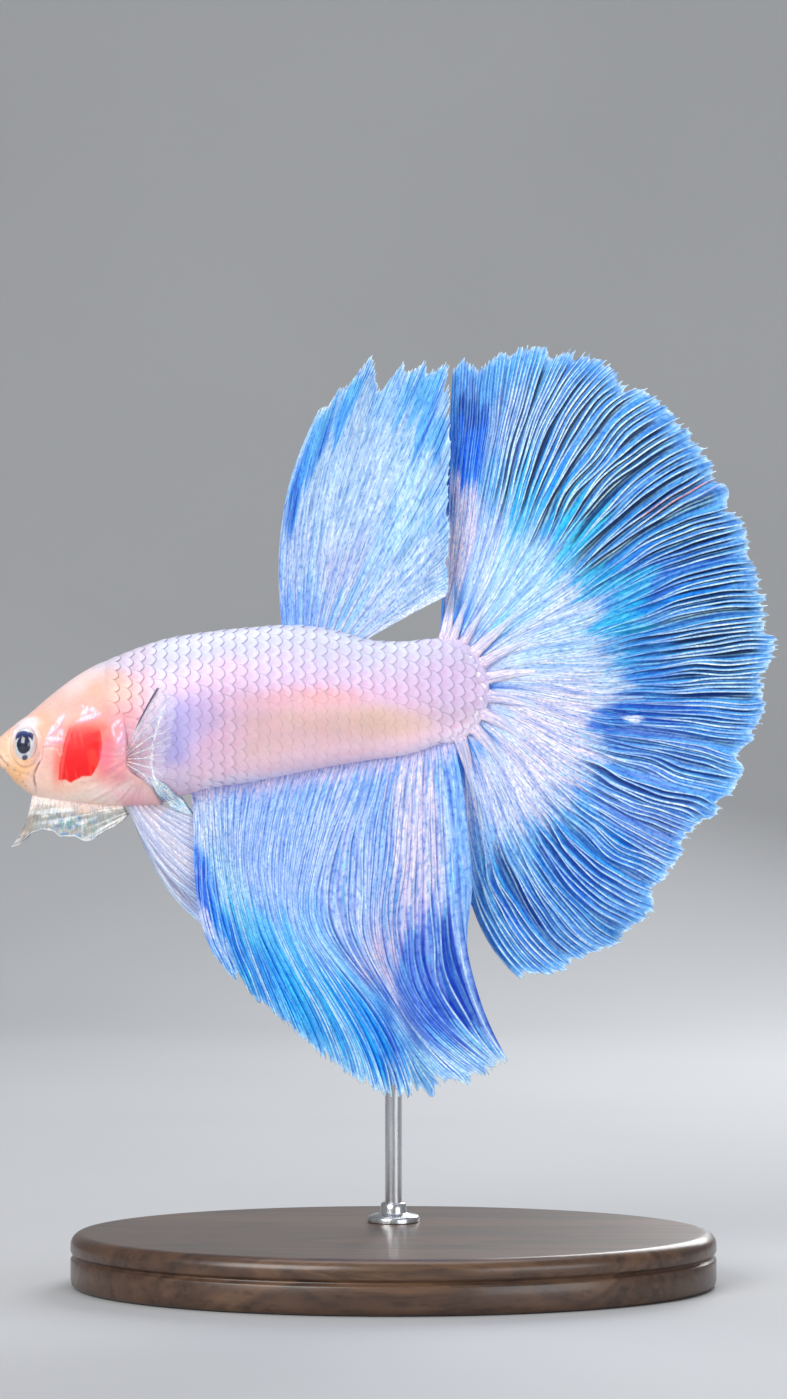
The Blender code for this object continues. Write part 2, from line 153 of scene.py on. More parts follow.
def profile(u):
    u = np.asarray(u, float)
    top, bottom, belt, half = (along(STATIONS, c, u) for c in (1, 2, 3, 4))
    close = np.sqrt(np.clip(1 - (1 - np.clip(u / SNOUT_ROUND, 0, 1)) ** 2, 0, 1))
    top, bottom, belt = (SNOUT_TIP_H + (v - SNOUT_TIP_H) * close for v in (top, bottom, belt))
    hub_u, hub_h, ru, rh = TAIL_HUB
    end = np.sqrt(np.clip(1 - np.clip((u - hub_u) / ru, 0, 1) ** 2, 0, 1))
    back = u > hub_u
    top = np.where(back, hub_h + rh * end, top)
    bottom = np.where(back, hub_h - rh * end, bottom)
    belt = np.where(back, hub_h, belt)
    return top, bottom, belt, half * close * np.where(back, 0.35 + 0.65 * end, 1)


def body_point(u, v):
    top, bottom, belt, half = profile(u)
    sin, cos = np.sin(v), np.cos(v)
    h = belt + np.where(sin > 0, top - belt, belt - bottom) * sin
    wide = np.where(sin > 0, 0.92, 0.80)
    return u, -half * np.sign(cos) * np.abs(cos) ** wide, h


def flank(u, h):
    top, bottom, belt, half = profile(u)
    sin = np.clip(np.where(h > belt, (h - belt) / (top - belt + 1e-9), (h - belt) / (belt - bottom + 1e-9)), -1, 1)
    return half * np.sqrt(1 - sin * sin) ** np.where(sin > 0, 0.92, 0.80)


def gill_edge(h):
    """u of the gill cover's back edge at height h: an arc, and below the side fin a slit that runs back under the breast."""
    h = np.asarray(h, float)
    cu, ch, r = GILL_ARC
    above = cu + np.sqrt(np.clip(r * r - (h - ch) ** 2, 1.0, None))
    return np.where(h < -5.9, np.interp(h, [k[0] for k in GILL_SLIT], [k[1] for k in GILL_SLIT]), above)


def world(u, y, h):
    return np.stack([(np.asarray(u, float) + SNOUT_X) * MM, np.asarray(y, float) * MM,
                     (np.asarray(h, float) + AXIS_Z) * MM], -1)


def scaled(u, h):
    """1 where scale plates cover the skin, 0 on the bare head."""
    top, bottom, belt, half = profile(u)
    behind = smooth(u - gill_edge(h), -0.10, 0.30)
    nape = smooth(u + 0.12 * h, 9.9, 11.6)
    high = smooth(h, -1.9, -0.3)
    return behind * (1 - high) + nape * high


def seen(u, y):
    """Where u shows in the side view, measured on the fish's middle plane."""
    return u + (u + SNOUT_X) * np.abs(y) / CAMERA_DISTANCE


# ------------------------------------------------------------------ mesh helpers
def make_mesh(name, verts, quads, tris=None, colours=None, uv=None, floats=None, loose_uv=None):
    """One object from arrays: verts in metres, quads and tris as rows of vertex numbers."""
    quads = np.zeros((0, 4), np.int32) if quads is None else np.asarray(quads, np.int32).reshape(-1, 4)
    tris = np.zeros((0, 3), np.int32) if tris is None else np.asarray(tris, np.int32).reshape(-1, 3)
    mesh = bpy.data.meshes.new(name)
    verts = np.asarray(verts, np.float32).reshape(-1, 3)
    loops = np.concatenate([quads.ravel(), tris.ravel()]).astype(np.int32)
    starts = np.concatenate([np.arange(len(quads)) * 4, len(quads) * 4 + np.arange(len(tris)) * 3]).astype(np.int32)
    mesh.vertices.add(len(verts))
    mesh.vertices.foreach_set("co", verts.ravel())
    mesh.loops.add(len(loops))
    mesh.loops.foreach_set("vertex_index", loops)
    mesh.polygons.add(len(starts))
    mesh.polygons.foreach_set("loop_start", starts)
    mesh.update(calc_edges=True)
    mesh.validate(verbose=False)
    mesh.polygons.foreach_set("use_smooth", np.ones(len(mesh.polygons), bool))
    if colours is not None:
        for key, value in colours.items():
            layer = mesh.color_attributes.new(key, "FLOAT_COLOR", "POINT")
            rgba = np.ones((len(verts), 4), np.float32)
            rgba[:, :3] = np.clip(np.asarray(value).reshape(-1, 3), 0, 1)
            layer.data.foreach_set("color", rgba.ravel())
    if floats is not None:
        for key, value in floats.items():
            layer = mesh.attributes.new(key, "FLOAT", "POINT")
            layer.data.foreach_set("value", np.asarray(value, np.float32).ravel())
    if uv is not None:
        for key, value in uv.items():
            layer = mesh.uv_layers.new(name=key)
            order = np.zeros(len(mesh.loops), np.int32)
            mesh.loops.foreach_get("vertex_index", order)
            layer.data.foreach_set("uv", np.asarray(value, np.float32).reshape(-1, 2)[order].ravel())
    obj = bpy.data.objects.new(name, mesh)
    bpy.context.scene.collection.objects.link(obj)
    return obj


def grid_quads(rows, columns, first=0, wrap=False):
    i, j = np.meshgrid(np.arange(rows - 1), np.arange(columns if wrap else columns - 1), indexing="ij")
    k = (j + 1) % columns
    return (first + np.stack([i * columns + j, i * columns + k, (i + 1) * columns + k, (i + 1) * columns + j],
                             -1)).reshape(-1, 4)


def grid_normals(p, wrap=False):
    if wrap:
        du = np.roll(p, -1, 1) - np.roll(p, 1, 1)
    else:
        du = np.gradient(p, axis=1)
    dv = np.gradient(p, axis=0)
    n = np.cross(du, dv)
    return n / (np.linalg.norm(n, axis=-1, keepdims=True) + 1e-12)


def add_piece(obj, material, slot, *nodes):
    obj.data.materials.clear()
    obj.data.materials.append(material)
    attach(obj, "root")
    if nodes:
        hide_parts(*nodes)
    return obj


# ------------------------------------------------------------------ camera, lights and backdrop
PLANE_WIDTH = 73.19                  # what the picture is wide, at the fish's middle plane
VIEW_AT = (0.0, 0.0, 54.45)
CAMERA_DISTANCE = 400.0
cam_data = bpy.data.cameras.new("camera")
cam_data.sensor_width = 36.0
cam_data.sensor_fit = "AUTO"
cam_data.lens = 36.0 * CAMERA_DISTANCE / (PLANE_WIDTH * 1399 / 787)
cam_data.clip_start, cam_data.clip_end = 0.02, 10.0
camera = bpy.data.objects.new("camera", cam_data)
camera.location = (VIEW_AT[0] * MM, (VIEW_AT[1] - CAMERA_DISTANCE) * MM, VIEW_AT[2] * MM)
camera.rotation_euler = (math.radians(90), 0, 0)
bpy.context.scene.collection.objects.link(camera)
bpy.context.scene.camera = camera
bpy.context.scene.view_settings.view_transform = "Standard"
bpy.context.scene.view_settings.look = "None"


def area_light(name, place, aim, size, power, colour=(1, 1, 1)):
    data = bpy.data.lights.new(name, "AREA")
    data.shape = "RECTANGLE"
    data.size, data.size_y = size[0] * MM, size[1] * MM
    data.energy = power
    data.color = colour
    lamp = bpy.data.objects.new(name, data)
    lamp.location = [c * MM for c in place]
    lamp.rotation_euler = (Vector(aim) - Vector(place)).to_track_quat("-Z", "Y").to_euler()
    bpy.context.scene.collection.objects.link(lamp)
    return lamp


area_light("key", (-230, -340, 250), (0, 0, 50), (260, 260), 1.60, (1.0, 0.985, 0.96))
area_light("fill", (300, -360, 20), (0, 0, 50), (300, 300), 0.92, (0.96, 0.98, 1.0))
area_light("top", (20, 40, 420), (0, 0, 50), (320, 240), 0.62)
area_light("rim", (140, 300, 200), (0, 0, 60), (200, 200), 0.8, (0.97, 0.98, 1.0))
world_shade = bpy.data.worlds.new("studio")
world_shade.use_nodes = True
world_shade.node_tree.nodes["Background"].inputs["Color"].default_value = (0.93, 0.95, 1.0, 1)
world_shade.node_tree.nodes["Background"].inputs["Strength"].default_value = 0.34
bpy.context.scene.world = world_shade


# ------------------------------------------------------------------ materials
def nodes_of(name):
    m = bpy.data.materials.new(name)
    m.use_nodes = True
    tree = m.node_tree
    return m, tree, tree.nodes["Principled BSDF"]


def node(tree, kind, **values):
    n = tree.nodes.new(kind)
    for key, value in values.items():
        if key in n.inputs:
            n.inputs[key].default_value = value
        else:
            setattr(n, key, value)
    return n


def ramp(tree, fac, stops):
    n = tree.nodes.new("ShaderNodeValToRGB")
    n.color_ramp.elements[0].position, n.color_ramp.elements[0].color = stops[0][0], (*stops[0][1], 1)
    n.color_ramp.elements[1].position, n.color_ramp.elements[1].color = stops[-1][0], (*stops[-1][1], 1)
    for place, colour in stops[1:-1]:
        n.color_ramp.elements.new(place).color = (*colour, 1)
    tree.links.new(fac, n.inputs["Fac"])
    return n.outputs["Color"]


def blend_colour(tree, kind, fac, a, b):
    n = tree.nodes.new("ShaderNodeMix")
    n.data_type = "RGBA"
    n.blend_type = kind
    for socket, value in ((n.inputs[0], fac), (n.inputs[6], a), (n.inputs[7], b)):
        if hasattr(value, "is_linked"):
            tree.links.new(value, socket)
        elif isinstance(value, (int, float)):
            socket.default_value = value
        else:
            socket.default_value = (*value, 1)
    return n.outputs[2]


def bump(tree, bsdf, height, strength, distance):
    n = tree.nodes.new("ShaderNodeBump")
    n.inputs["Strength"].default_value = strength
    n.inputs["Distance"].default_value = distance
    tree.links.new(height, n.inputs["Height"])
    tree.links.new(n.outputs["Normal"], bsdf.inputs["Normal"])
    return n


def painted_skin(name, rough, coat, speck, fine_scale, bump_strength):
    """Moist skin: the colour painted on the mesh, broken up by fine flecks, with a wet film over it."""
    m, tree, b = nodes_of(name)
    paint = node(tree, "ShaderNodeAttribute", attribute_name="paint")
    place = tree.nodes.new("ShaderNodeTexCoord")
    fine = node(tree, "ShaderNodeTexNoise", Scale=fine_scale, Detail=3.0, Roughness=0.6)
    broad = node(tree, "ShaderNodeTexNoise", Scale=fine_scale * 0.22, Detail=2.0, Roughness=0.5)
    for n in (fine, broad):
        tree.links.new(place.outputs["Object"], n.inputs["Vector"])
    light = ramp(tree, fine.outputs["Fac"], ((0.30, (1 - speck,) * 3), (0.52, (1.0,) * 3), (0.74, (1 + speck * 0.6,) * 3)))
    col = blend_colour(tree, "MULTIPLY", 1.0, paint.outputs["Color"], light)
    tint = ramp(tree, broad.outputs["Fac"], ((0.30, (1.03, 0.97, 0.99)), (0.70, (0.97, 1.0, 1.03))))
    col = blend_colour(tree, "MULTIPLY", 0.7, col, tint)
    tree.links.new(col, b.inputs["Base Color"])
    r = node(tree, "ShaderNodeMapRange")
    r.inputs["To Min"].default_value, r.inputs["To Max"].default_value = rough - 0.07, rough + 0.09
    tree.links.new(broad.outputs["Fac"], r.inputs["Value"])
    tree.links.new(r.outputs["Result"], b.inputs["Roughness"])
    b.inputs["Coat Weight"].default_value = coat
    b.inputs["Coat Roughness"].default_value = 0.16
    b.inputs["Specular IOR Level"].default_value = 0.32
    bump(tree, b, fine.outputs["Fac"], bump_strength, 0.00006)
    return m


def painted_fin(name, rough, see_through=False, contrast=0.85, shine=0.11):
    """Fin membrane or ray: painted colour with fine streaks that run along the rays."""
    m, tree, b = nodes_of(name)
    paint = node(tree, "ShaderNodeAttribute", attribute_name="paint")
    flow = node(tree, "ShaderNodeUVMap", uv_map="flow")
    streaks = []
    for sx, sy, detail in ((1.0, 0.8, 2.0), (2.3, 2.0, 2.0), (0.95, 7.5, 1.0)):
        mp = node(tree, "ShaderNodeMapping")
        mp.inputs["Scale"].default_value = (sx, sy, 1)
        tree.links.new(flow.outputs["UV"], mp.inputs["Vector"])
        n = node(tree, "ShaderNodeTexNoise", Scale=1.0, Detail=detail, Roughness=0.55)
        n.noise_dimensions = "2D"
        tree.links.new(mp.outputs["Vector"], n.inputs["Vector"])
        streaks.append(n.outputs["Fac"])
    light = ramp(tree, streaks[0], ((0.34, (0.50, 0.64, 0.84)), (0.48, (1.0, 1.0, 1.0)), (0.66, (1.30, 1.20, 1.06))))
    col = blend_colour(tree, "MULTIPLY", contrast, paint.outputs["Color"], light)
    fine = ramp(tree, streaks[1], ((0.36, (0.74, 0.82, 0.93)), (0.60, (1.16, 1.10, 1.03))))
    col = blend_colour(tree, "MULTIPLY", 0.8, col, fine)
    beads = ramp(tree, streaks[2], ((0.32, (0.50, 0.64, 0.90)), (0.42, (1.0, 1.0, 1.0)), (0.58, (1.0, 1.0, 1.0)), (0.68, (1.34, 1.22, 1.06))))
    col = blend_colour(tree, "MULTIPLY", contrast, col, beads)
    tree.links.new(col, b.inputs["Base Color"])
    r = node(tree, "ShaderNodeMapRange")
    r.inputs["To Min"].default_value, r.inputs["To Max"].default_value = rough - 0.08, rough + 0.10
    tree.links.new(streaks[1], r.inputs["Value"])
    tree.links.new(r.outputs["Result"], b.inputs["Roughness"])
    b.inputs["Specular IOR Level"].default_value = shine
    if see_through:
        solid = node(tree, "ShaderNodeAttribute", attribute_name="solid")
        tree.links.new(solid.outputs["Fac"], b.inputs["Alpha"])
    bump(tree, b, streaks[1], 0.35, 0.00005)
    return m


SKIN = painted_skin("betta_skin", 0.38, 0.12, 0.07, 2600.0, 0.30)
SCALE = painted_skin("betta_scales", 0.34, 0.14, 0.05, 3000.0, 0.22)
FIN = painted_fin("betta_fin_membrane", 0.46)
RAY = painted_fin("betta_fin_rays", 0.42, contrast=0.55, shine=0.26)
CLEAR_FIN = painted_fin("betta_clear_fin", 0.30, see_through=True, contrast=0.4, shine=0.30)


# ------------------------------------------------------------------ the fish's colours
WHITE_BACK = (0.66, 0.67, 0.84)
PINK_LILAC = (0.84, 0.60, 0.82)
PEACH = (0.84, 0.565, 0.60)
RED = (0.90, 0.010, 0.014)


def spot(u, h, cu, ch, ru, rh, turn=0.0, soft=0.45):
    """1 inside an oval patch of the side view, falling to 0 across its soft edge."""
    c, s = math.cos(math.radians(turn)), math.sin(math.radians(turn))
    a, b = ((u - cu) * c + (h - ch) * s) / ru, (-(u - cu) * s + (h - ch) * c) / rh
    return 1 - smooth(np.hypot(a, b), 1 - soft, 1 + soft)


def tail_end(u, h):
    """0 on the body, 1 at the rounded end of the tail root."""
    return np.where(u > TAIL_HUB[0], np.hypot((u - TAIL_HUB[0]) / TAIL_HUB[2], (h - TAIL_HUB[1]) / TAIL_HUB[3]), 0)


def calm(u, h):
    """1 on the smooth, peach-coloured lower flank and behind the side fin, where the scales hardly show."""
    top = np.interp(u, (20, 36, 40.5, 44), (0.4, 0.5, -0.9, -3.0))
    low = smooth(u, 20.0, 25.0) * (1 - smooth(u, 38.5, 42.5)) * (1 - smooth(h - top, -0.7, 0.5))
    breast = 0.8 * spot(u, h, 15.5, -8.0, 4.0, 2.4, 0, 0.5)
    behind = 0.6 * spot(u, h, 18.0, -4.2, 3.2, 4.0, 0, 0.5)
    return np.maximum(np.maximum(low, breast), behind)


def red_patch(u, h, n2, n3):
    """Share of the blood-red patch at a point of the cheek, how far across the patch the point lies, and the u of the
    patch's front edge.
    """
    k = h + 5.0
    middle = 8.2 + 0.2 * k - 0.04 * k * k
    half = 1.86 - 0.08 * k * k
    side = np.abs(u - middle) / np.maximum(half, 0.3)
    foot = np.interp(u, (5.8, 6.7, 7.25, 7.9, 8.3, 9.2, 9.8), (-7.42, -7.36, -7.62, -7.30, -7.06, -6.98, -6.4))
    body = (1 - smooth(side + 0.025 * n3 + 0.02 * n2, 0.955, 1.035)) * smooth(h - foot + 0.07 * n3, -0.07, 0.08)
    body = body * (1 - smooth(h + 0.22 * n2, -3.2, -2.3))
    return body, side, middle - half


def body_colour(u, h, y):
    """The markings of head and body, with painted shade and painted highlights on the head and painted light on the
    underside of the head and the lower edge of the trunk; the same on skin and scales and on both sides.
    """
    top, bottom, belt, half = profile(u)
    rise = np.clip((h - bottom) / (top - bottom + 1e-6), 0, 1)          # 0 at the belly, 1 at the back
    edge_gap = u - gill_edge(h)
    true_u = u
    u = seen(u, y)
    n1 = turbulence(u * 0.55, h * 0.55, 3)
    n2 = turbulence(u * 1.7, h * 1.7, 9)
    n3 = turbulence(u * 5.5, h * 5.5, 21)
    # trunk: white back, pink-lilac flank, peach lower flank, lilac tail root
    col = np.broadcast_to(np.array(PINK_LILAC), np.shape(u) + (3,)).copy()
    col = mix(col, (0.75, 0.64, 0.86), smooth(h, 0.8, 3.0))
    col = mix(col, (0.71, 0.56, 0.80), smooth(u, 36.5, 43) * 0.85)
    col = mix(col, (0.70, 0.54, 0.68), smooth(u, 39, 42) * (1 - smooth(h, -1.6, 0.6)) * 0.7)
    col = mix(col, WHITE_BACK, smooth(rise + 0.06 * n1, 0.70, 0.90) * (1 - 0.35 * smooth(u, 36, 42)))
    col = mix(col, (0.70, 0.74, 0.88), smooth(rise + 0.05 * n1, 0.86, 0.97) * (1 - smooth(u, 38, 42)) * 0.7)
    col = mix(col, (0.84, 0.62, 0.80), spot(u + 0.5 * n2, h, 21.5, 2.6, 2.6, 1.2, 0, 0.7) * 0.6)
    lower = (1 - smooth(h + 0.40 * n1, -2.2, 0.5)) * smooth(u, 20.0, 24.5) * (1 - smooth(u, 39.5, 42.5))
    col = mix(col, PEACH, lower * 0.95)
    col = mix(col, (0.90, 0.53, 0.60), spot(u + 0.4 * n2, h + 0.2 * n1, 28.9, -0.05, 6.0, 1.15, 1, 0.6) * 0.92)
    col = mix(col, (0.92, 0.52, 0.54), spot(u + 0.5 * n2, h + 0.2 * n1, 31.0, 0.05, 2.6, 0.7, 0, 0.7) * 0.7)
    col = mix(col, (0.86, 0.57, 0.54), spot(u, h + 0.2 * n1, 31.5, -1.9, 6.6, 1.1, -2, 0.6) * 0.85)
    col = mix(col, (0.83, 0.58, 0.50), spot(u + 0.3 * n2, h, 36.3, -1.9, 3.4, 1.3, -8, 0.6) * 0.85)
    col = mix(col, (0.84, 0.60, 0.80), (1 - smooth(rise + 0.04 * n1, 0.06, 0.24)) * smooth(u, 19, 23) * 0.75)
    col = mix(col, (0.84, 0.55, 0.72), spot(u + 0.4 * n2, h, 21.4, -2.6, 1.9, 2.8, 0, 0.6) * 0.6)
    col = mix(col, (0.62, 0.50, 0.86), spot(u + 0.4 * n2, h, 19.0, -1.4, 2.0, 2.0, 0, 0.6) * 0.65)
    col = mix(col, (0.56, 0.54, 0.97), spot(u + 0.45 * n2, h + 0.3 * n1, 16.9, -3.2, 1.6, 3.4, -4, 0.8) * 0.76)
    col = mix(col, (0.46, 0.42, 0.80), spot(u + 0.3 * n2, h, 16.9, -4.6, 1.0, 1.4, 0, 0.6) * 0.6)
    col = mix(col, (0.82, 0.56, 0.62), spot(u, h + 0.2 * n2, 13.3, 0.3, 1.8, 2.2, -10, 0.6) * 0.9)
    col = mix(col, (0.84, 0.55, 0.46), spot(u + 0.3 * n2, h, 11.9, 0.6, 1.5, 1.6, 0, 0.6) * 0.85)
    col = mix(col, (0.88, 0.42, 0.46), spot(u + 0.2 * n2, h, 12.5, -1.5, 1.1, 1.3, 0, 0.6) * 0.85)
    col = mix(col, (0.78, 0.48, 0.56), spot(u, h, 13.3, -4.4, 1.5, 2.6, 0, 0.6) * 0.85)
    col = mix(col, (0.92, 0.62, 0.70), spot(u + 0.3 * n2, h, 17.5, -8.0, 2.6, 1.5, 6, 0.6) * 0.8)
    col = mix(col, (0.84, 0.60, 0.50), spot(u + 0.3 * n2, h, 10.9, 1.6, 1.6, 1.3, 0, 0.65) * 0.8)
    col = mix(col, (0.82, 0.72, 0.95), spot(u + 0.3 * n2, h, 17.0, -7.3, 1.8, 1.3, 0, 0.65) * 0.7)
    # painted light: the trunk's lower edge is lightened against the shade it lies in
    col = mix(col, (0.95, 0.70, 0.88), (1 - smooth(rise + 0.03 * n2, 0.02, 0.10)) * smooth(u, 18, 20) * 0.7)
    ending = tail_end(true_u, h)
    col = mix(col, (0.74, 0.62, 0.90), smooth(ending + 0.05 * n2, 0.72, 0.95) * 0.75)
    col = mix(col, (0.88, 0.80, 0.98), smooth(ending + 0.03 * n3, 0.90, 1.0) * 0.7)
    # the bare skin of the head
    head = 1 - smooth(edge_gap + 0.30 * n2 * smooth(h, -2.4, -0.5), -0.30 - 1.4 * smooth(h, -2.4, 1.0), 0.20 + 1.0 * smooth(h, -2.4, 1.0))
    head = head * (1 - smooth(true_u + 0.5 * n2, 12.2, 14.5) * smooth(h, -3.0, -1.5))
    skin = np.broadcast_to(np.array((0.89, 0.60, 0.51)), np.shape(u) + (3,)).copy()
    skin = mix(skin, (0.86, 0.76, 0.76), spot(u, h, 7.6, 1.45, 4.8, 1.35, 38, 0.6) * 0.95)
    skin = mix(skin, (0.82, 0.58, 0.50), spot(u, h, 5.6, -0.7, 2.0, 1.2, 40, 0.6) * 0.85)
    skin = mix(skin, (0.82, 0.58, 0.43), spot(u, h, 4.5, -2.0, 1.2, 1.0, 30, 0.6) * 0.8)
    skin = mix(skin, (0.84, 0.51, 0.38), spot(u + 0.3 * n2, h, 10.4, 0.6, 2.3, 1.6, 20, 0.65) * 0.9)
    skin = mix(skin, (0.88, 0.42, 0.35), spot(u + 0.2 * n2, h, 11.2, -0.9, 2.4, 1.1, 5, 0.6) * 0.9)
    skin = mix(skin, (0.85, 0.45, 0.38), spot(u, h, 8.4, -0.45, 1.9, 0.9, 15, 0.7) * 0.8)
    skin = mix(skin, (0.91, 0.58, 0.27), spot(u, h, 2.3, -6.2, 2.6, 1.5, -38, 0.6) * 0.92)
    skin = mix(skin, (0.93, 0.73, 0.52), spot(u, h, 0.9, -4.7, 1.5, 1.7, 0, 0.7) * 0.85)
    skin = mix(skin, (0.84, 0.52, 0.36), spot(u, h, 4.8, -3.0, 0.8, 1.6, 8, 0.6) * 0.85)
    skin = mix(skin, (0.84, 0.52, 0.46), spot(u, h, 5.0, -5.2, 1.2, 1.3, 0, 0.6) * 0.75)
    skin = mix(skin, (0.90, 0.66, 0.58), spot(u, h, 4.4, -7.6, 1.4, 1.5, -20, 0.6) * 0.8)
    skin = mix(skin, (1.0, 0.66, 0.52), spot(u, h, 7.4, -8.3, 2.6, 1.2, -2, 0.6) * 0.9)
    skin = mix(skin, (1.0, 0.78, 0.72), spot(u, h, 10.4, -8.8, 2.0, 1.2, 0, 0.6) * 0.85)
    skin = mix(skin, (1.0, 0.56, 0.60), spot(u, h + 0.2 * n2, 13.2, -9.1, 2.1, 1.0, -6, 0.6) * 0.95)
    skin = mix(skin, (0.84, 0.54, 0.58), spot(u, h, 12.9, -7.7, 1.3, 0.8, -30, 0.6) * 0.7)
    skin = mix(skin, (0.82, 0.70, 0.66), (1 - smooth(h - bottom + 0.3 * n2, 0.1, 1.0)) * smooth(u, 3.4, 5.5) * (1 - smooth(u, 10.5, 12.5)) * 0.8)
    # pink and magenta at the back of the gill cover, with lines that fan out from the side fin
    skin = mix(skin, (0.91, 0.34, 0.40), spot(u, h, 11.0, -4.9, 1.45, 2.7, 0, 0.65) * 0.85)
    skin = mix(skin, (0.90, 0.42, 0.50), spot(u, h, 12.0, -1.9, 0.9, 1.0, 0, 0.7) * 0.8)
    skin = mix(skin, (0.82, 0.42, 0.66), spot(u + 0.3 * n2, h, 12.1, -3.2, 0.8, 1.2, 10, 0.6) * 0.85)
    angle = np.arctan2(h + 5.0, 13.3 - u)
    rays = noise(angle * 9.5 + 3, np.hypot(h + 5.0, 13.3 - u) * 0.35, 87)
    fan = spot(u, h, 11.6, -4.6, 1.6, 2.8, 0, 0.5)
    skin = mix(skin, (0.70, 0.26, 0.40), fan * smooth(rays, 0.05, 0.7) * 0.55)
    skin = mix(skin, (0.93, 0.62, 0.72), fan * smooth(-rays, 0.1, 0.7) * 0.50)
    wrinkle = noise(np.arctan2(h + 6.4, 14.2 - u) * 15 + 5, np.hypot(h + 6.4, 14.2 - u) * 0.4, 89)
    throat = spot(u, h, 10.6, -8.5, 4.2, 1.4, 2, 0.5)
    skin = mix(skin, (0.66, 0.46, 0.44), throat * smooth(wrinkle, 0.15, 0.8) * 0.50)
    skin = mix(skin, (0.96, 0.80, 0.76), throat * smooth(-wrinkle, 0.15, 0.8) * 0.50)
    # the blood-red patch shows through the gill cover
    body, side, left = red_patch(u, h, n2, n3)
    skin = mix(skin, (0.92, 0.42, 0.34), spot(u + 0.3 * n2, h + 0.2 * n2, 9.2, -2.2, 3.2, 1.5, 6, 0.6) * 0.55)
    glow = np.maximum(spot(u + 0.15 * n2, h, 8.9, -2.75, 2.6, 1.05, 6, 0.55), 0.95 * spot(u, h, 10.35, -4.2, 0.85, 2.5, -6, 0.7))
    skin = mix(skin, (0.92, 0.25, 0.20), glow)
    skin = mix(skin, (0.93, 0.12, 0.09), spot(u, h, 8.7, -2.75, 1.75, 0.55, 3, 0.6) * 0.85)
    skin = mix(skin, (0.92, 0.40, 0.36), spot(u, h, 6.3, -3.6, 0.55, 1.3, -10, 0.7) * 0.6)
    skin = mix(skin, (0.91, 0.17, 0.13), spot(u, h, 6.25, -5.6, 0.65, 2.0, -6, 0.7) * 0.8)
    skin = mix(skin, RED, body)
    streak = noise(u * 3.6 + 0.7 * h, h * 0.55, 93)
    skin = mix(skin, (0.96, 0.10, 0.06), body * smooth(streak, 0.1, 0.7) * 0.40)
    strip = bell(u - left - 0.22, 0.17) * body
    skin = mix(skin, (0.94, 0.13, 0.11), strip * 0.65)
    skin = mix(skin, (0.72, 0.004, 0.02), bell(u - left - 0.50, 0.055) * body * 0.8)
    skin = mix(skin, (0.78, 0.02, 0.03), bell(side - 0.955, 0.03) * body * 0.5)
    skin = mix(skin, (0.90, 0.34, 0.42), spot(u + 0.3 * n2, h + 0.2 * n2, 12.3, -1.5, 1.7, 1.2, 10, 0.6) * 0.45)
    skin = mix(skin, (0.92, 0.22, 0.42), spot(u + 0.1 * n2, h, 10.55, -4.9, 0.55, 1.6, -6, 0.6) * 0.50)
    skin = mix(skin, (0.70, 0.42, 0.52), spot(u + 0.2 * n2, h, 12.1, -4.5, 0.8, 1.0, 0, 0.6) * 0.45)
    # pale shining flecks round the eye and over the gill cover
    for cu, ch, ru, rh, turn, power in (
            (8.9, -1.56, 1.15, 0.19, 18, 1.0), (8.95, -0.72, 0.75, 0.20, -20, 0.95), (8.5, -1.10, 0.45, 0.22, 48, 0.8),
            (9.5, -1.20, 0.35, 0.16, -30, 0.7), (5.90, -2.25, 1.15, 0.24, 53, 1.0), (5.45, -2.75, 0.55, 0.20, 60, 0.8),
            (5.65, -3.62, 0.78, 0.24, -4, 1.0), (6.25, -3.15, 0.25, 0.50, -15, 0.7), (5.1, -3.95, 0.35, 0.18, 20, 0.7),
            (11.5, -2.1, 0.55, 0.16, 40, 0.8), (12.2, -2.6, 0.60, 0.18, -50, 0.9), (11.8, -3.4, 0.55, 0.16, 65, 0.9),
            (12.4, -3.9, 0.45, 0.16, -20, 0.7), (11.2, -2.9, 0.14, 0.50, 12, 0.6), (12.1, -4.6, 0.35, 0.12, 70, 0.5)):
        rag = 0.55 * n3 + 0.25 * n2
        near = spot(u, h, cu, ch, ru, rh, turn, 0.32)
        skin = mix(skin, (0.80, 0.38, 0.62), (spot(u, h, cu + 0.05, ch - 0.10, ru * 1.12, rh * 1.5, turn, 0.3) - near).clip(0, 1) * power * 0.55)
        skin = mix(skin, (0.88, 0.84, 0.98), near * smooth(rag, -0.30, 0.02) * power)
    # painted highlight on the brow and along the upper half of the ring round the eye, a grey spot in front of the
    # brow, and dark lines round the lower and back edge of the eye's socket
    ring = np.hypot((true_u - EYE_U) / EYE_RU, (h - EYE_H) / EYE_RH)
    skin = mix(skin, (0.88, 0.90, 0.94), bell(ring - 1.06, 0.20) * smooth(h - EYE_H, -0.2, 1.3) * 0.95)
    skin = mix(skin, (0.90, 0.91, 0.94), spot(true_u, h, EYE_U + 0.12, -2.30, 1.15, 0.62, 20, 0.4) * 0.95)
    skin = mix(skin, (0.58, 0.56, 0.60), spot(true_u, h, EYE_U - 0.75, -2.62, 0.35, 0.28, 30, 0.5) * 0.5)
    skin = mix(skin, (0.60, 0.47, 0.42), bell(ring - 1.05, 0.06) * (1 - smooth(h - EYE_H, -0.9, 0.4)) * 0.6)
    skin = mix(skin, (0.55, 0.45, 0.45), bell(ring - 1.03, 0.05) * smooth(true_u - EYE_U, 0.2, 0.9) * 0.45)
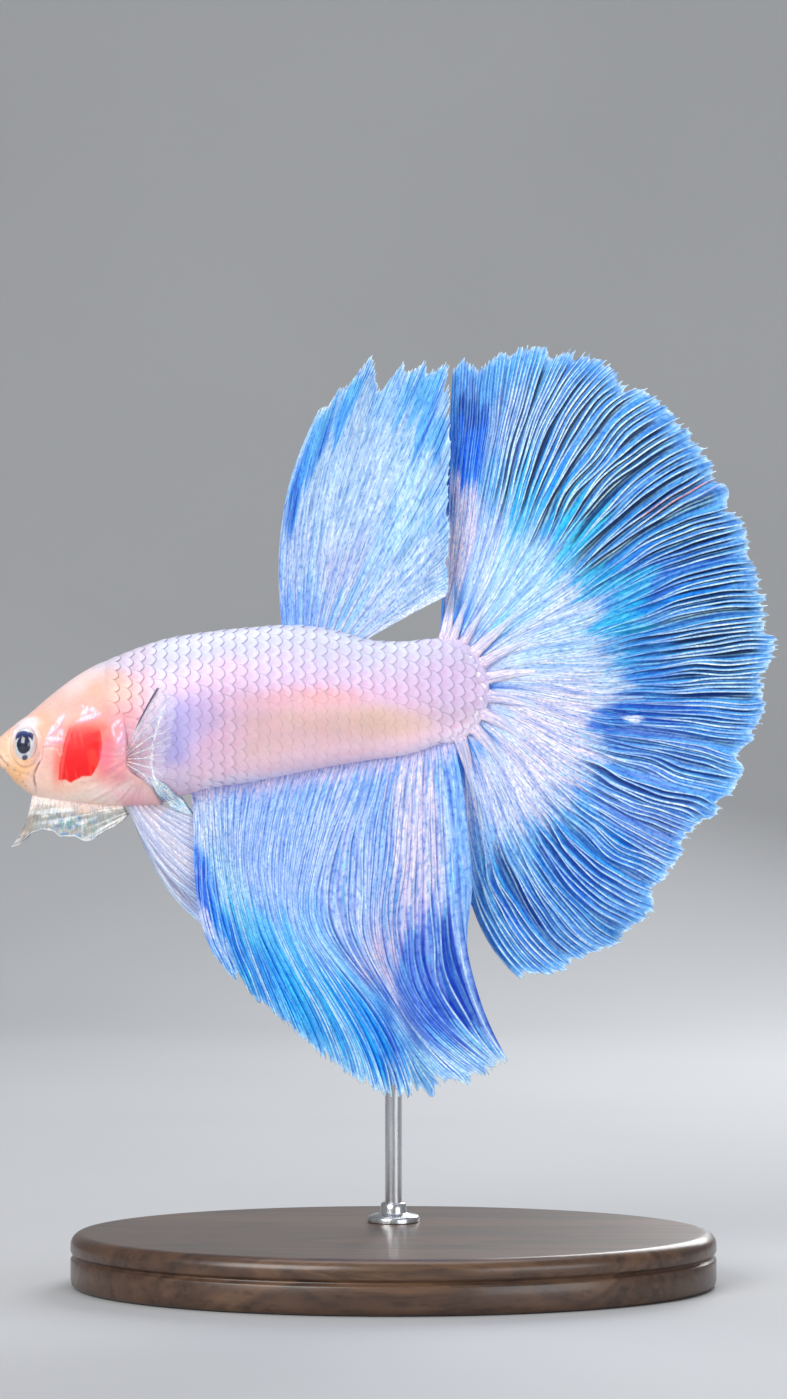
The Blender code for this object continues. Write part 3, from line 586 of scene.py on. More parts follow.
    # creases of the jaw and cheek with painted shade in them and a painted highlight along one side, painted shade
    # along the mouth's slit, and a few dark pores on the lip and chin
    d, k = near_line(u, h, ((4.50, -5.45), (4.12, -6.05), (3.78, -6.95), (3.80, -7.55), (3.98, -8.1), (4.05, -8.9)))
    crease = np.interp(k, (0, 0.12, 0.30, 0.40, 0.55, 0.72, 0.80, 1.0), (0.1, 0.9, 0.85, 0.5, 0.95, 0.75, 0.2, 0.1))
    skin = mix(skin, (0.16, 0.10, 0.14), bell(d, 0.085) * crease * 0.95)
    skin = mix(skin, (0.95, 0.86, 0.80), bell(d - 0.22, 0.10) * (u > 3.9) * crease * 0.35)
    d, k = near_line(u, h, ((4.55, -5.5), (4.62, -4.35), (5.3, -4.28), (6.15, -4.40), (6.25, -4.9)))
    skin = mix(skin, (0.52, 0.27, 0.27), bell(d, 0.060) * 0.55)
    skin = mix(skin, (0.95, 0.78, 0.74), bell(d - 0.16, 0.08) * 0.25)
    # painted shade along the mouth's slit
    d, k = near_line(u, h, MOUTH)
    skin = mix(skin, (0.30, 0.14, 0.12), bell(d, 0.09) * (1 - smooth(k, 0.85, 1.0)) * 0.9)
    for cu, ch, r in ((1.98, -6.50, 0.13), (2.5, -6.95, 0.11), (3.02, -7.95, 0.10), (2.76, -7.60, 0.12), (3.3, -6.75, 0.09),
                      (1.45, -5.75, 0.09), (2.25, -7.35, 0.08), (1.2, -5.2, 0.08)):
        skin = mix(skin, (0.42, 0.27, 0.20), bell(np.hypot(u - cu, h - ch), r) * 0.6)
    # painted shade in the slit at the gill cover's lower back edge
    slit = smooth(-h, 5.9, 6.8)
    skin = mix(skin, (0.20, 0.12, 0.16), bell(edge_gap + 0.08, 0.10) * slit * 0.85)
    col = mix(col, skin, head)
    # painted shadow on the body just behind the slit, and painted shade along the gill cover's back edge above it
    col = mix(col, (0.30, 0.20, 0.28), bell(edge_gap - 0.10, 0.16) * slit * 0.7)
    col = mix(col, (0.62, 0.30, 0.38), bell(edge_gap, 0.22) * (1 - slit) * (1 - smooth(h, -3.6, -1.4)) * 0.6)
    tone = smooth(u, 14.0, 15.5)
    upper = (1 - tone)[..., None] * smooth(h, -8.4, -7.0)[..., None]
    col = col * (1 - upper * np.array([0.0, 0.11, 0.12]))
    # painted light: the underside of the head is brightened against the shade it lies in
    col = col * (1 + ((1 - tone) * (1 - smooth(h, -9.4, -8.2)))[..., None] * np.array([0.16, 0.16, 0.12]))
    low = tone * (1 - smooth(h, -2.0, -0.4)) * smooth(h, -7.4, -6.0) * smooth(u, 18.0, 20.0) * (1 - smooth(u, 34, 40))
    col = col * (1 - low[..., None] * np.array([0.10, 0.11, 0.11]))
    col = mix(col, (0.56, 0.56, 0.98), spot(u + 0.3 * n2, h + 0.2 * n1, 16.7, -2.9, 1.4, 2.2, 0, 0.8) * 0.30)
    flush = spot(u + 0.3 * n2, h + 0.2 * n1, 22.6, -0.4, 4.4, 1.9, 0, 0.6)
    col = col * (1 - flush[..., None] * np.array([0.14, 0.12, 0.10]))
    col = mix(col, (0.58, 0.42, 0.62), spot(u + 0.2 * n2, h, 15.0, -3.2, 1.2, 2.6, 0, 0.6) * 0.45)
    # painted light: the lower edge of the trunk is brightened against the shade it falls in
    edge = (1 - smooth(rise + 0.02 * n2, 0.06, 0.30)) * smooth(u, 17.5, 20.5)
    col = col * (1 + edge[..., None] * np.array([0.24, 0.26, 0.16]))
    col = mix(col, (1.0, 0.44, 0.50), spot(u + 0.3 * n2, h, 13.3, -9.5, 1.3, 0.7, -10, 0.6) * 0.6)
    col *= (1 + 0.035 * n3)[..., None]
    return np.clip(col, 0, 1)


MOUTH = ((0.0, -4.6), (0.5, -5.15), (1.0, -5.80), (1.42, -6.30))


# ------------------------------------------------------------------ one skin for head, jaw, gill covers, trunk and tail root
def relief(u, h, y):
    """How far the skin stands out from the plain form, in millimetres."""
    ring = np.hypot((u - EYE_U) / EYE_RU, (h - EYE_H) / EYE_RH)
    out = -0.62 * (1 - smooth(ring, 0.62, 1.00)) + 0.13 * bell(ring - 1.10, 0.10)
    out = out + 0.20 * spot(u, h, EYE_U + 0.12, -2.35, 1.2, 0.62, 20, 0.6) - 0.05 * bell(ring - 1.30, 0.09)
    back = u - gill_edge(h)
    u = seen(u, y)
    n2 = turbulence(u * 1.3, h * 1.3, 31)
    # mouth with its two lips
    d, k = near_line(u, h, MOUTH)
    fade = 1 - smooth(k, 0.82, 1.0)
    out = out - 0.26 * bell(d, 0.10) * fade + 0.13 * bell(d - 0.30, 0.17) * fade
    # jaw crease, cheek plates
    d, k = near_line(u, h, ((1.9, -6.6), (2.9, -6.9), (3.75, -7.3)))
    out = out - 0.05 * bell(d, 0.14)
    d, k = near_line(u, h, ((4.50, -5.45), (4.12, -6.05), (3.78, -6.95), (3.80, -7.55), (3.98, -8.1), (4.05, -9.1)))
    out = out - 0.14 * bell(d, 0.12) * smooth(np.sin(math.pi * k), 0.0, 0.5)
    d, k = near_line(u, h, ((4.55, -5.5), (4.62, -4.35), (5.3, -4.28), (6.15, -4.40), (6.25, -4.9)))
    out = out - 0.05 * bell(d, 0.10)
    # the fore edge of the gill cover, a shallow curved groove
    d, k = near_line(u, h, ((6.4, -1.2), (5.9, -3.4), (5.75, -5.4), (6.2, -7.8), (7.6, -9.2)))
    out = out - 0.04 * bell(d, 0.25) * smooth(np.sin(math.pi * k), 0, 0.4)
    # pits of the nose
    for cu, ch in ((1.35, -3.35), (1.85, -2.85)):
        r = np.hypot(u - cu, h - ch)
        out = out - 0.14 * bell(r, 0.11) + 0.05 * bell(r - 0.22, 0.08)
    # the gill cover swells towards its free back edge, which stands clear of the body below the side fin
    slit = smooth(-h, 5.6, 6.8)
    upper = (1 - smooth(h, -3.8, -1.6)) * (1 - slit)
    low = upper + slit * smooth(h, -10.2, -9.2)
    cover = np.where(back <= 0.004, 0.20 * smooth(back, -3.2, -0.3) - 0.05 * bell(back, 0.16), -0.12 * (1 - smooth(back, 0.15, 0.9)))
    out = out + low * cover * (0.55 + 0.75 * slit)
    rays = noise(np.arctan2(h + 5.0, 13.3 - u) * 9.5 + 3, np.hypot(h + 5.0, 13.3 - u) * 0.35, 87)
    out = out - 0.035 * smooth(rays, 0.05, 0.7) * spot(u, h, 11.4, -4.6, 1.8, 2.8, 0, 0.5) * (back < 0)
    wrinkle = noise(np.arctan2(h + 6.4, 14.2 - u) * 15 + 5, np.hypot(h + 6.4, 14.2 - u) * 0.4, 89)
    out = out + 0.030 * wrinkle * spot(u, h, 10.6, -8.5, 4.2, 1.4, 2, 0.5)
    # the red patch lies a little under the cover's bone; the shining flecks stand a little proud
    out = out - 0.03 * spot(u, h, 8.15, -4.95, 1.95, 2.5, -9, 0.2)
    for cu, ch, ru, rh, turn in ((8.9, -1.56, 1.15, 0.22, 18), (8.95, -0.72, 0.75, 0.22, -20), (5.90, -2.25, 1.15, 0.26, 53),
                                 (5.65, -3.62, 0.78, 0.26, -4)):
        out = out + 0.03 * spot(u, h, cu, ch, ru, rh, turn, 0.5)
    return out + 0.012 * n2


def head_rings():
    a = 13.6 * np.linspace(0, 1, 196) ** 1.25
    return a


rings = np.concatenate([head_rings(), np.linspace(13.6, BODY_END, 112)[1:]])
i_edge = int(np.argmin(np.abs(rings - 12.6)))
rings[i_edge] = 12.6
rings = np.insert(rings, i_edge + 1, 12.612)
rings[0] = 0.004
rings[-1] = BODY_END - 0.002
AROUND = 288
angles = -math.pi / 2 + 2 * math.pi * (np.arange(AROUND) + 0.0) / AROUND
UU, VV = np.meshgrid(rings, angles, indexing="ij")
follow = smooth(UU, 4.5, 12.6) * (1 - smooth(UU, 12.62, 26.0))
u_now = UU.copy()
for _ in range(5):
    _, _, hh = body_point(u_now, VV)
    u_now = UU + follow * (gill_edge(hh) - 12.6)
u_skin, y_skin, h_skin = body_point(u_now, VV)
P = np.stack([u_skin, y_skin, h_skin], -1)
N = grid_normals(P, wrap=True)
centre = np.stack([u_skin, 0 * y_skin, profile(u_skin)[2]], -1)
flip = np.sign(np.sum(N * (P - centre), -1, keepdims=True))
N = N * np.where(np.median(flip) < 0, -1, 1)
lift = relief(u_skin, h_skin, y_skin) * smooth(np.abs(y_skin), 0.0, 0.35)
COAT = 0.11
coat_here = scaled(u_skin, h_skin) * (1 - smooth(tail_end(u_skin, h_skin), 0.84, 0.96))
P = P + N * (lift - 0.02 - COAT * coat_here)[..., None]
skin_paint = body_colour(u_skin, h_skin, y_skin)
crest = np.clip(profile(u_skin)[0] - h_skin, 0, 9)
tips = np.array([[rings[0] - 0.03, 0, SNOUT_TIP_H + 0.1], [BODY_END - 0.05, 0, TAIL_HUB[1]]])
flat = P.reshape(-1, 3)
verts = np.concatenate([flat, tips])
R = len(rings)
quads = grid_quads(R, AROUND, 0, wrap=True)
j = np.arange(AROUND)
first = np.stack([np.full(AROUND, R * AROUND), (j + 1) % AROUND, j], -1)
last = np.stack([np.full(AROUND, R * AROUND + 1), (R - 1) * AROUND + j, (R - 1) * AROUND + (j + 1) % AROUND], -1)
paint = np.concatenate([skin_paint.reshape(-1, 3), [skin_paint[0, 0], skin_paint[-1, 0]]])


def body_uv(u, v):
    """The unwrap of the skin's own shape: length along, turn round."""
    return np.stack([np.clip(0.02 + 0.96 * np.asarray(u) / BODY_END, 0, 1),
                     np.clip(0.02 + 0.96 * (np.asarray(v) + math.pi / 2) / (2 * math.pi), 0, 1)], -1)


skin = make_mesh("skin", world(*verts.T), quads, np.concatenate([first, last]), {"paint": paint})


def face_outwards(obj):
    """Turns a closed mesh's faces outwards."""
    bm = bmesh.new()
    bm.from_mesh(obj.data)
    bm.normal_update()
    if bm.calc_volume(signed=True) < 0:
        bmesh.ops.reverse_faces(bm, faces=bm.faces)
        bm.to_mesh(obj.data)
    bm.free()


face_outwards(skin)
add_piece(skin, SKIN, "scaled_skin", "head", "lower_jaw", "gill_cover_left", "gill_cover_right", "trunk", "tail_root")


# ------------------------------------------------------------------ scale plates
MID_LINE = ((9.0, 0.0), (12.6, -1.0), (18.0, -0.6), (26.0, 0.2), (34.0, 0.35), (42.0, 0.95), (46.2, 0.95))
PITCH, ROW = 1.06, 1.13              # spacing of the plates along the body and between rows
PLATE_LENGTH, PLATE_WIDTH = 2.02, 1.58

# arc length round one flank from the mid line, so that rows keep their spacing as the body narrows
table_u = np.linspace(6.0, BODY_END - 0.01, 420)
table_v = np.linspace(-math.pi / 2, math.pi / 2, 361)
TU, TV = np.meshgrid(table_u, table_v, indexing="ij")
_, TY, TH = body_point(TU, TV)
arc = np.concatenate([np.zeros((len(table_u), 1)), np.cumsum(np.hypot(np.diff(TY, axis=1), np.diff(TH, axis=1)), 1)], 1)
mid_h = along(MID_LINE, 1, table_u)
zero = np.array([np.interp(mid_h[i], TH[i], arc[i]) for i in range(len(table_u))])
arc -= zero[:, None]


def surface(u, q, side, lift=0.0):
    """The skin's plain form at u and at the arc distance q above the mid line, pushed out by lift. Gives point and angle."""
    shape = np.shape(u)
    u1, q1 = np.ravel(u), np.ravel(q)
    place = np.clip((u1 - table_u[0]) / (table_u[1] - table_u[0]), 0, len(table_u) - 1.001)
    i = place.astype(int)
    f = place - i
    va = np.empty(len(u1))
    vb = np.empty(len(u1))
    for k in np.unique(i):
        m = i == k
        va[m] = np.interp(q1[m], arc[k], table_v)
        vb[m] = np.interp(q1[m], arc[k + 1], table_v)
    v = va * (1 - f) + vb * f
    e = 1e-3
    pu, py, ph = body_point(u1, v)
    p = np.stack([pu, py, ph], -1)
    a = np.stack(body_point(u1 + e, v), -1) - np.stack(body_point(u1 - e, v), -1)
    b = np.stack(body_point(u1, v + e), -1) - np.stack(body_point(u1, v - e), -1)
    n = np.cross(a, b)
    n /= np.linalg.norm(n, axis=-1, keepdims=True) + 1e-12
    n *= np.where(n[:, 1:2] > 0, -1, 1)
    p = p + n * np.ravel(np.broadcast_to(lift, shape))[:, None]
    p[:, 1] *= -side                    # body_point's first half is the left side
    n[:, 1] *= -side
    return p.reshape(shape + (3,)), n.reshape(shape + (3,)), v.reshape(shape)


SIDE_STEPS = 9
steps_out = np.array([-1.0, -0.90, -0.70, -0.38, 0.0, 0.38, 0.70, 0.90, 1.0])
gx, gy = np.meshgrid(steps_out, steps_out, indexing="ij")
disc_x = gx * np.sqrt(1 - gy * gy / 2)
disc_y = gy * np.sqrt(1 - gx * gx / 2)
disc_r = np.sqrt(np.clip(disc_x ** 2 + disc_y ** 2, 0, 1)).ravel()
# root end narrower and squarer, free end drawn out to a blunt point
plate_a = (disc_x * (1 + 0.14 * smooth(disc_x, 0.2, 1.0) * (1 - np.abs(disc_y)) ** 1.4)).ravel()
plate_b = (disc_y * (1.0 - 0.20 * smooth(-disc_x, 0.1, 1.0))).ravel()
rim_ids = np.concatenate([np.arange(SIDE_STEPS), SIDE_STEPS * np.arange(1, SIDE_STEPS) + SIDE_STEPS - 1,
                          SIDE_STEPS * (SIDE_STEPS - 1) + np.arange(SIDE_STEPS - 2, -1, -1),
                          SIDE_STEPS * np.arange(SIDE_STEPS - 2, 0, -1)])
top_quads = grid_quads(SIDE_STEPS, SIDE_STEPS)
n_top = SIDE_STEPS * SIDE_STEPS
n_rim = len(rim_ids)
low_rim = n_top + np.arange(n_rim)
side_quads = np.stack([rim_ids, np.roll(rim_ids, -1), np.roll(low_rim, -1), low_rim], -1)
low_tris = np.stack([low_rim, np.roll(low_rim, -1), np.full(n_rim, n_top + n_rim)], -1)
PLATE_VERTS = n_top + n_rim + 1


# small, uneven scales crowd round the rounded end of the tail root and point out along the rays
END_SCALES = []
for _ring, (_share, _number) in enumerate(((0.79, 15), (0.93, 21))):
    for _j in range(_number):
        _luck = hashed(np.array([_j]), np.array([_ring]), 77)[0]
        _a = math.radians(-82 + 168 * (_j + 0.5 + 0.6 * (_luck - 0.5)) / _number)
        _e = _share + 0.06 * (_luck - 0.5)
        _u, _h = TAIL_HUB[0] + TAIL_HUB[2] * _e * math.cos(_a), TAIL_HUB[1] + TAIL_HUB[3] * _e * math.sin(_a)
        _i = int(np.clip((_u - table_u[0]) / (table_u[1] - table_u[0]), 0, len(table_u) - 1))
        END_SCALES.append((_u, float(np.interp(_h, TH[_i], arc[_i])), 90 + _ring, _j, _a, 0.40 + 0.16 * _luck))
END_SCALES = np.array(END_SCALES)


def scale_coat(side, word):
    seeds = []
    columns = int((BODY_END - 8.6) / PITCH) + 1
    for i in range(columns):
        for k in range(-11, 12):
            u0 = 8.9 + PITCH * i + 0.06 * math.sin(12.9 * i + 7.7 * k)
            q0 = ROW * (k + 0.5 * (i % 2)) + 0.04 * math.sin(5.1 * i + 3.3 * k)
            seeds.append((u0, q0, i, k))
    seeds = np.array(seeds)
    u0, q0 = seeds[:, 0], seeds[:, 1]
    p, n, v = surface(u0, q0, side)
    lo = np.array([np.interp(u, table_u, arc[:, 0]) for u in u0])
    hi = np.array([np.interp(u, table_u, arc[:, -1]) for u in u0])
    keep = (q0 > lo + 0.18) & (q0 < hi - 0.12)
    keep &= scaled(u0 + 0.25, p[:, 2]) > 0.62
    keep &= tail_end(u0, p[:, 2]) < 0.74
    plain = int(keep.sum())
    seeds = np.concatenate([seeds[keep], END_SCALES[:, :4]])
    p, n, v = surface(seeds[:, 0], seeds[:, 1], side)
    u0, q0, h0 = seeds[:, 0], seeds[:, 1], p[:, 2]
    m = len(u0)
    deep = smooth(scaled(u0 - 1.3, h0), 0.0, 0.9)                    # 0 for the first plates behind the bare head
    ending = tail_end(u0, h0)
    size = (0.86 + 0.14 * deep) * (1 - 0.16 * smooth(ending, 0.3, 0.8))
    size = size * (1 + 0.05 * np.sin(17.3 * seeds[:, 2] + 9.1 * seeds[:, 3]))
    size[plain:] = END_SCALES[:, 5]
    length, width = PLATE_LENGTH * size, PLATE_WIDTH * size
    quiet = calm(u0, h0)
    a = plate_a[None] * (length / 2)[:, None]
    b = plate_b[None] * (width / 2)[:, None]
    tilt = (-0.20 + 0.07 * np.sin(3.7 * seeds[:, 2] + 1.9 * seeds[:, 3]) + 0.25 * smooth(ending, 0.2, 0.8) * np.sin(7.7 * seeds[:, 2] + 5.1 * seeds[:, 3]))[:, None]
    tilt[plain:, 0] = END_SCALES[:, 4]
    uu = u0[:, None] + a * np.cos(tilt) - b * np.sin(tilt)
    qq = q0[:, None] + a * np.sin(tilt) + b * np.cos(tilt)
    uu = np.minimum(uu, BODY_END - 0.12)
    share = np.clip((plate_a[None] + 1) / 2, 0, 1)
    r = disc_r[None]
    slope = (0.155 - 0.085 * quiet - 0.05 * (1 - deep))[:, None]
    rise = -0.008 - slope * (1 - share) + 0.014 * (1 - plate_b[None] ** 2) - 0.010 * r ** 8
    rise = rise + 0.020 * plate_b[None] * (1 - 0.6 * quiet[:, None])
    top_p, top_n, top_v = surface(uu, qq, side, rise)
    low_p = top_p[:, rim_ids] - top_n[:, rim_ids] * 0.032
    mid_p = (top_p[:, n_top // 2] - top_n[:, n_top // 2] * 0.045)[:, None]
    verts = np.concatenate([top_p, low_p, mid_p], 1)
    # paint: the body's markings, with a pale band inside each plate's free edge and a thin lilac-grey outline
    base = body_colour(top_p[..., 0], top_p[..., 2], top_p[..., 1])
    vary = (hashed(seeds[:, 2].astype(int), seeds[:, 3].astype(int), 5 if side < 0 else 6))[:, None]
    power = ((1 - 0.90 * quiet) * (0.60 + 0.40 * deep))[:, None]
    free = smooth(share, 0.42, 0.62)
    outline = smooth(r, 0.90, 0.99) * free * (0.55 + 0.45 * smooth(plate_b[None], -0.5, 0.4))
    band = smooth(r, 0.45, 0.72) * (1 - smooth(r, 0.86, 0.95)) * free
    heart = (1 - smooth(r, 0.30, 0.75)) * smooth(share, 0.35, 0.6)
    lit = np.clip(base * 1.04 + np.array([0.03, 0.07, 0.06]), 0, 0.95)
    shine = base * (1 - (band * power * (0.35 + 0.5 * vary))[..., None]) + lit * (band * power * (0.35 + 0.5 * vary))[..., None]
    shine = shine * (1 - heart[..., None] * (power * (0.35 + 0.65 * vary))[..., None] * np.array([0.02, 0.12, 0.05]))
    shine = shine * (1 - outline[..., None] * power[..., None] * np.array([0.36, 0.40, 0.24]))
    glint = np.zeros(m)
    glint[plain:] = smooth(hashed(seeds[plain:, 2].astype(int), seeds[plain:, 3].astype(int), 33), 0.45, 0.9)
    shine = shine + (np.array([0.94, 0.90, 0.97]) - shine) * (glint[:, None] * smooth(share, 0.3, 0.7) * (1 - smooth(r, 0.75, 0.95)))[..., None]
    # painted shade at each plate's root, where the plate in front covers it
    root = 1 - smooth(share, 0.34, 0.60)
    shine = shine * (1 - 0.14 * root * power)[..., None]
    shine = shine * (0.985 + 0.03 * vary)[..., None]
    # the plates' side walls are painted darker as shade
    shaded_wall_col = shine[:, rim_ids] * (1 - power[..., None] * np.array([0.22, 0.28, 0.14]))
    col = np.concatenate([shine, shaded_wall_col, shine[:, n_top // 2][:, None]], 1)
    v_full = np.where(side < 0, v, math.pi - v)
    centre_uv = body_uv(u0, v_full)
    local = np.concatenate([np.stack([plate_a, plate_b], -1), np.stack([plate_a, plate_b], -1)[rim_ids] * 0.98, [[0, 0]]])
    uv = centre_uv[:, None] + 0.0015 * local[None]
    base_id = (np.arange(m) * PLATE_VERTS)[:, None, None]
    quads = (np.concatenate([top_quads, side_quads])[None] + base_id).reshape(-1, 4)
    tris = (low_tris[None] + base_id).reshape(-1, 3)
    if side > 0:
        quads, tris = quads[:, ::-1], tris[:, ::-1]
    obj = make_mesh("scales_" + word, world(*verts.reshape(-1, 3).T), quads, tris, {"paint": col}, {"OFBake": uv.reshape(-1, 2)})
    face_outwards(obj)
    return add_piece(obj, SCALE, "scaled_skin"), m


count = {}
for side, word in ((-1, "left"), (1, "right")):
    piece, count[word] = scale_coat(side, word)
print("plates", count)


# ------------------------------------------------------------------ eyes
def make_eye(side, word):
    """Eyeball with a pearl-white ring and a dark pupil painted on, a slightly domed front, all one glossy form."""
    rows, cols = 56, 72
    polar = math.pi * (np.arange(rows) / (rows - 1)) ** 1.0
    turn = 2 * math.pi * np.arange(cols) / cols
    A, B = np.meshgrid(polar, turn, indexing="ij")
    a, b, c = np.sin(A) * np.cos(B), np.sin(A) * np.sin(B), np.cos(A)        # c looks outwards
    bulge = 1 + 0.05 * bell(A, 0.62)
    u = EYE_U + EYE_RU * a * bulge
    h = EYE_H + EYE_RH * b * bulge
    y = side * (EYE_Y + EYE_RY * c * bulge)
    # markings, in millimetres from the pupil, which sits slightly forward of the middle
    x, z = u - EYE_U + 0.14, h - EYE_H - 0.02
    n = turbulence(x * 3.0 + 4, z * 3.0, 61)
    radial = noise(np.arctan2(z, x) * 7.0, np.hypot(x, z) * 2.5, 14)
    pupil = np.hypot(x / 0.67, z / 0.85)
    col = np.broadcast_to(np.array((0.64, 0.69, 0.76)), x.shape + (3,)).copy()
    col = mix(col, (0.90, 0.92, 0.95), smooth(0.5 * radial + 0.6 * n + 0.5 * (x - 0.2), -0.6, 0.5) * 0.8)
    col = mix(col, (0.34, 0.42, 0.55), bell(pupil - 1.25, 0.14) * smooth(radial, -0.3, 0.8) * 0.5)
    rim = np.hypot((u - EYE_U) / EYE_RU, (h - EYE_H) / EYE_RH)
    col = mix(col, (0.40, 0.44, 0.52), smooth(rim, 0.84, 0.99) * 0.7)
    col = mix(col, (0.80, 0.72, 0.54), smooth(-x - 0.62, 0, 0.35) * 0.6)
    # a navy cap arches over the pupil, and a dark blot lies under it
    arch = z - 1.04 + 0.46 * (x - 0.04) ** 2
    cap = (1 - smooth(np.abs(arch) + 0.03 * n, 0.22, 0.31)) * (1 - smooth(np.abs(x - 0.04), 0.74, 0.90))
    bridge = (1 - smooth(np.abs(x - 0.03), 0.36, 0.50)) * smooth(z, 0.2, 0.4) * (1 - smooth(z, 0.95, 1.1))
    col = mix(col, (0.016, 0.028, 0.12), np.maximum(cap, bridge))
    col = mix(col, (0.05, 0.09, 0.26), cap * bell(arch - 0.14, 0.10) * 0.8)
    col = mix(col, (0.016, 0.028, 0.12), (1 - smooth(np.hypot((x - 0.74) / 0.10, (z - 0.64) / 0.17), 0.8, 1.2)) * 0.8)
    under = np.hypot((x - 0.08) / 0.30, (z + 1.16) / 0.27)
    col = mix(col, (0.02, 0.035, 0.10), (1 - smooth(under + 0.22 * n, 0.75, 1.1)) * 0.95)
    col = mix(col, (0.30, 0.34, 0.42), bell(np.hypot(x / 0.30, (z + 0.90) / 0.10) - 0.6, 0.4) * 0.35)
    col = mix(col, (0.006, 0.010, 0.030), 1 - smooth(pupil + 0.04 * n, 0.90, 1.04))
    col = mix(col, (0.03, 0.05, 0.16), (1 - smooth(pupil, 0.55, 0.95)) * bell(z - 0.40, 0.25) * 0.6)
    verts = np.stack([u, y, h], -1).reshape(-1, 3)
    obj = make_mesh("eye_" + word + "_ball", world(*verts.T), grid_quads(rows, cols, 0, wrap=True), None, {"paint": col})
    bm = bmesh.new()
    bm.from_mesh(obj.data)
    bmesh.ops.remove_doubles(bm, verts=bm.verts, dist=1e-8)
    bmesh.ops.dissolve_degenerate(bm, edges=bm.edges, dist=1e-9)
    bm.to_mesh(obj.data)
    bm.free()
    face_outwards(obj)
    return add_piece(obj, EYE, "eye", "eye_" + word)


def eye_material():
    m, tree, b = nodes_of("betta_eye")
    paint = node(tree, "ShaderNodeAttribute", attribute_name="paint")
    place = tree.nodes.new("ShaderNodeTexCoord")
    fine = node(tree, "ShaderNodeTexNoise", Scale=9000.0, Detail=2.0)
    tree.links.new(place.outputs["Object"], fine.inputs["Vector"])
    light = ramp(tree, fine.outputs["Fac"], ((0.3, (0.88, 0.90, 0.93)), (0.7, (1.08, 1.07, 1.05))))
    tree.links.new(blend_colour(tree, "MULTIPLY", 1.0, paint.outputs["Color"], light), b.inputs["Base Color"])
    b.inputs["Roughness"].default_value = 0.22
    b.inputs["Coat Weight"].default_value = 1.0
    b.inputs["Coat Roughness"].default_value = 0.02
    b.inputs["Coat IOR"].default_value = 1.45
    return m


EYE = eye_material()
for side, word in ((-1, "left"), (1, "right")):
    make_eye(side, word)


# ------------------------------------------------------------------ fins
DORSAL_RAYS = (
    (0.0, 15.0, 95, 86, 71), (0.1, 20.4, 95, 81, 70), (0.2, 22.5, 91, 80, 68), (0.3, 25.3, 85, 78, 65),
    (0.45, 25.7, 77, 72, 66), (0.6, 26.6, 67, 67, 67), (0.7, 21.6, 61, 63, 68), (0.8, 15.0, 53, 54, 60),
    (0.9, 10.4, 41, 42, 42), (1.0, 7.8, 32, 28, 26))
ANAL_RAYS = (
    (0.0, 15.8, -80, -87, -56), (0.1, 20.4, -90, -77, -72), (0.2, 24.4, -95, -71, -78), (0.35, 28.1, -97, -71, -85),
    (0.5, 30.7, -99, -72, -89), (0.65, 31.3, -97, -76, -86), (0.8, 30.7, -92, -81, -68), (0.9, 30.4, -90, -81, -63),
    (1.0, 29.9, -80, -83, -58))
CAUDAL_RAYS = (
    (0.0, 25.4, 86, 88, 86), (0.083, 26.4, 78, 82, 83), (0.167, 28.1, 68, 76, 65), (0.25, 29.1, 56, 69, 34),
    (0.333, 28.3, 47, 52, 20), (0.417, 27.7, 36, 32, 11), (0.5, 26.6, 23, 15, 5), (0.583, 26.3, 6, 5, 0),
    (0.667, 24.5, -9, -8, -8), (0.75, 22.2, -24, -27, -17), (0.833, 23.1, -40, -45, -20),
    (0.917, 24.2, -61, -63, -26), (1.0, 23.5, -85, -80, -37))


class Sheet:
    """The surface of a fin: at(s, t) gives u, y, h at the share s of its base and the share t of the ray's length.
    It runs on a little past the ends of the base, and below t = 0 into the body."""

    def __init__(self, rays, base, side, t_end=1.10):
        self.side = side
        self.ns, self.nt = 401, 181
        self.t_end = t_end
        s = np.linspace(0, 1, self.ns)
        t = np.linspace(0, t_end, self.nt)
        length, root, middle, tip = (along(rays, c, s) for c in (1, 2, 3, 4))
        g = (t[1:] + t[:-1]) / 2
        lean = np.radians(root[:, None] * (1 - g) * (1 - 2 * g) + 4 * middle[:, None] * g * (1 - g)
                          + tip[:, None] * g * (2 * g - 1))
        zero = np.zeros((self.ns, 1))
        step = np.diff(t)
        bu, bh = base(s)
        self.u = bu[:, None] + length[:, None] * np.concatenate([zero, np.cumsum(np.cos(lean) * step, 1)], 1)
        self.h = bh[:, None] + length[:, None] * np.concatenate([zero, np.cumsum(np.sin(lean) * step, 1)], 1)
        self.length = length
        self.root = np.radians(root)

    def at(self, s, t):
        s, t = np.broadcast_arrays(np.asarray(s, float), np.asarray(t, float))
        below = np.minimum(t, 0)
        tt = np.clip(t, 0, self.t_end)
        x, y = s * (self.ns - 1), tt / self.t_end * (self.nt - 1)
        i, j = np.clip(x.astype(int), 0, self.ns - 2), np.clip(y.astype(int), 0, self.nt - 2)
        f, g = x - i, y - j
        out = []
        for table in (self.u, self.h):
            out.append(table[i, j] * (1 - f) * (1 - g) + table[i + 1, j] * f * (1 - g)
                       + table[i, j + 1] * (1 - f) * g + table[i + 1, j + 1] * f * g)
        size = np.interp(s, np.linspace(0, 1, self.ns), self.length)
        turn = np.interp(s, np.linspace(0, 1, self.ns), self.root)
        u = out[0] + below * size * np.cos(turn)
        h = out[1] + below * size * np.sin(turn)
        return u, self.side(np.clip(s, 0, 1), tt, u, h), h


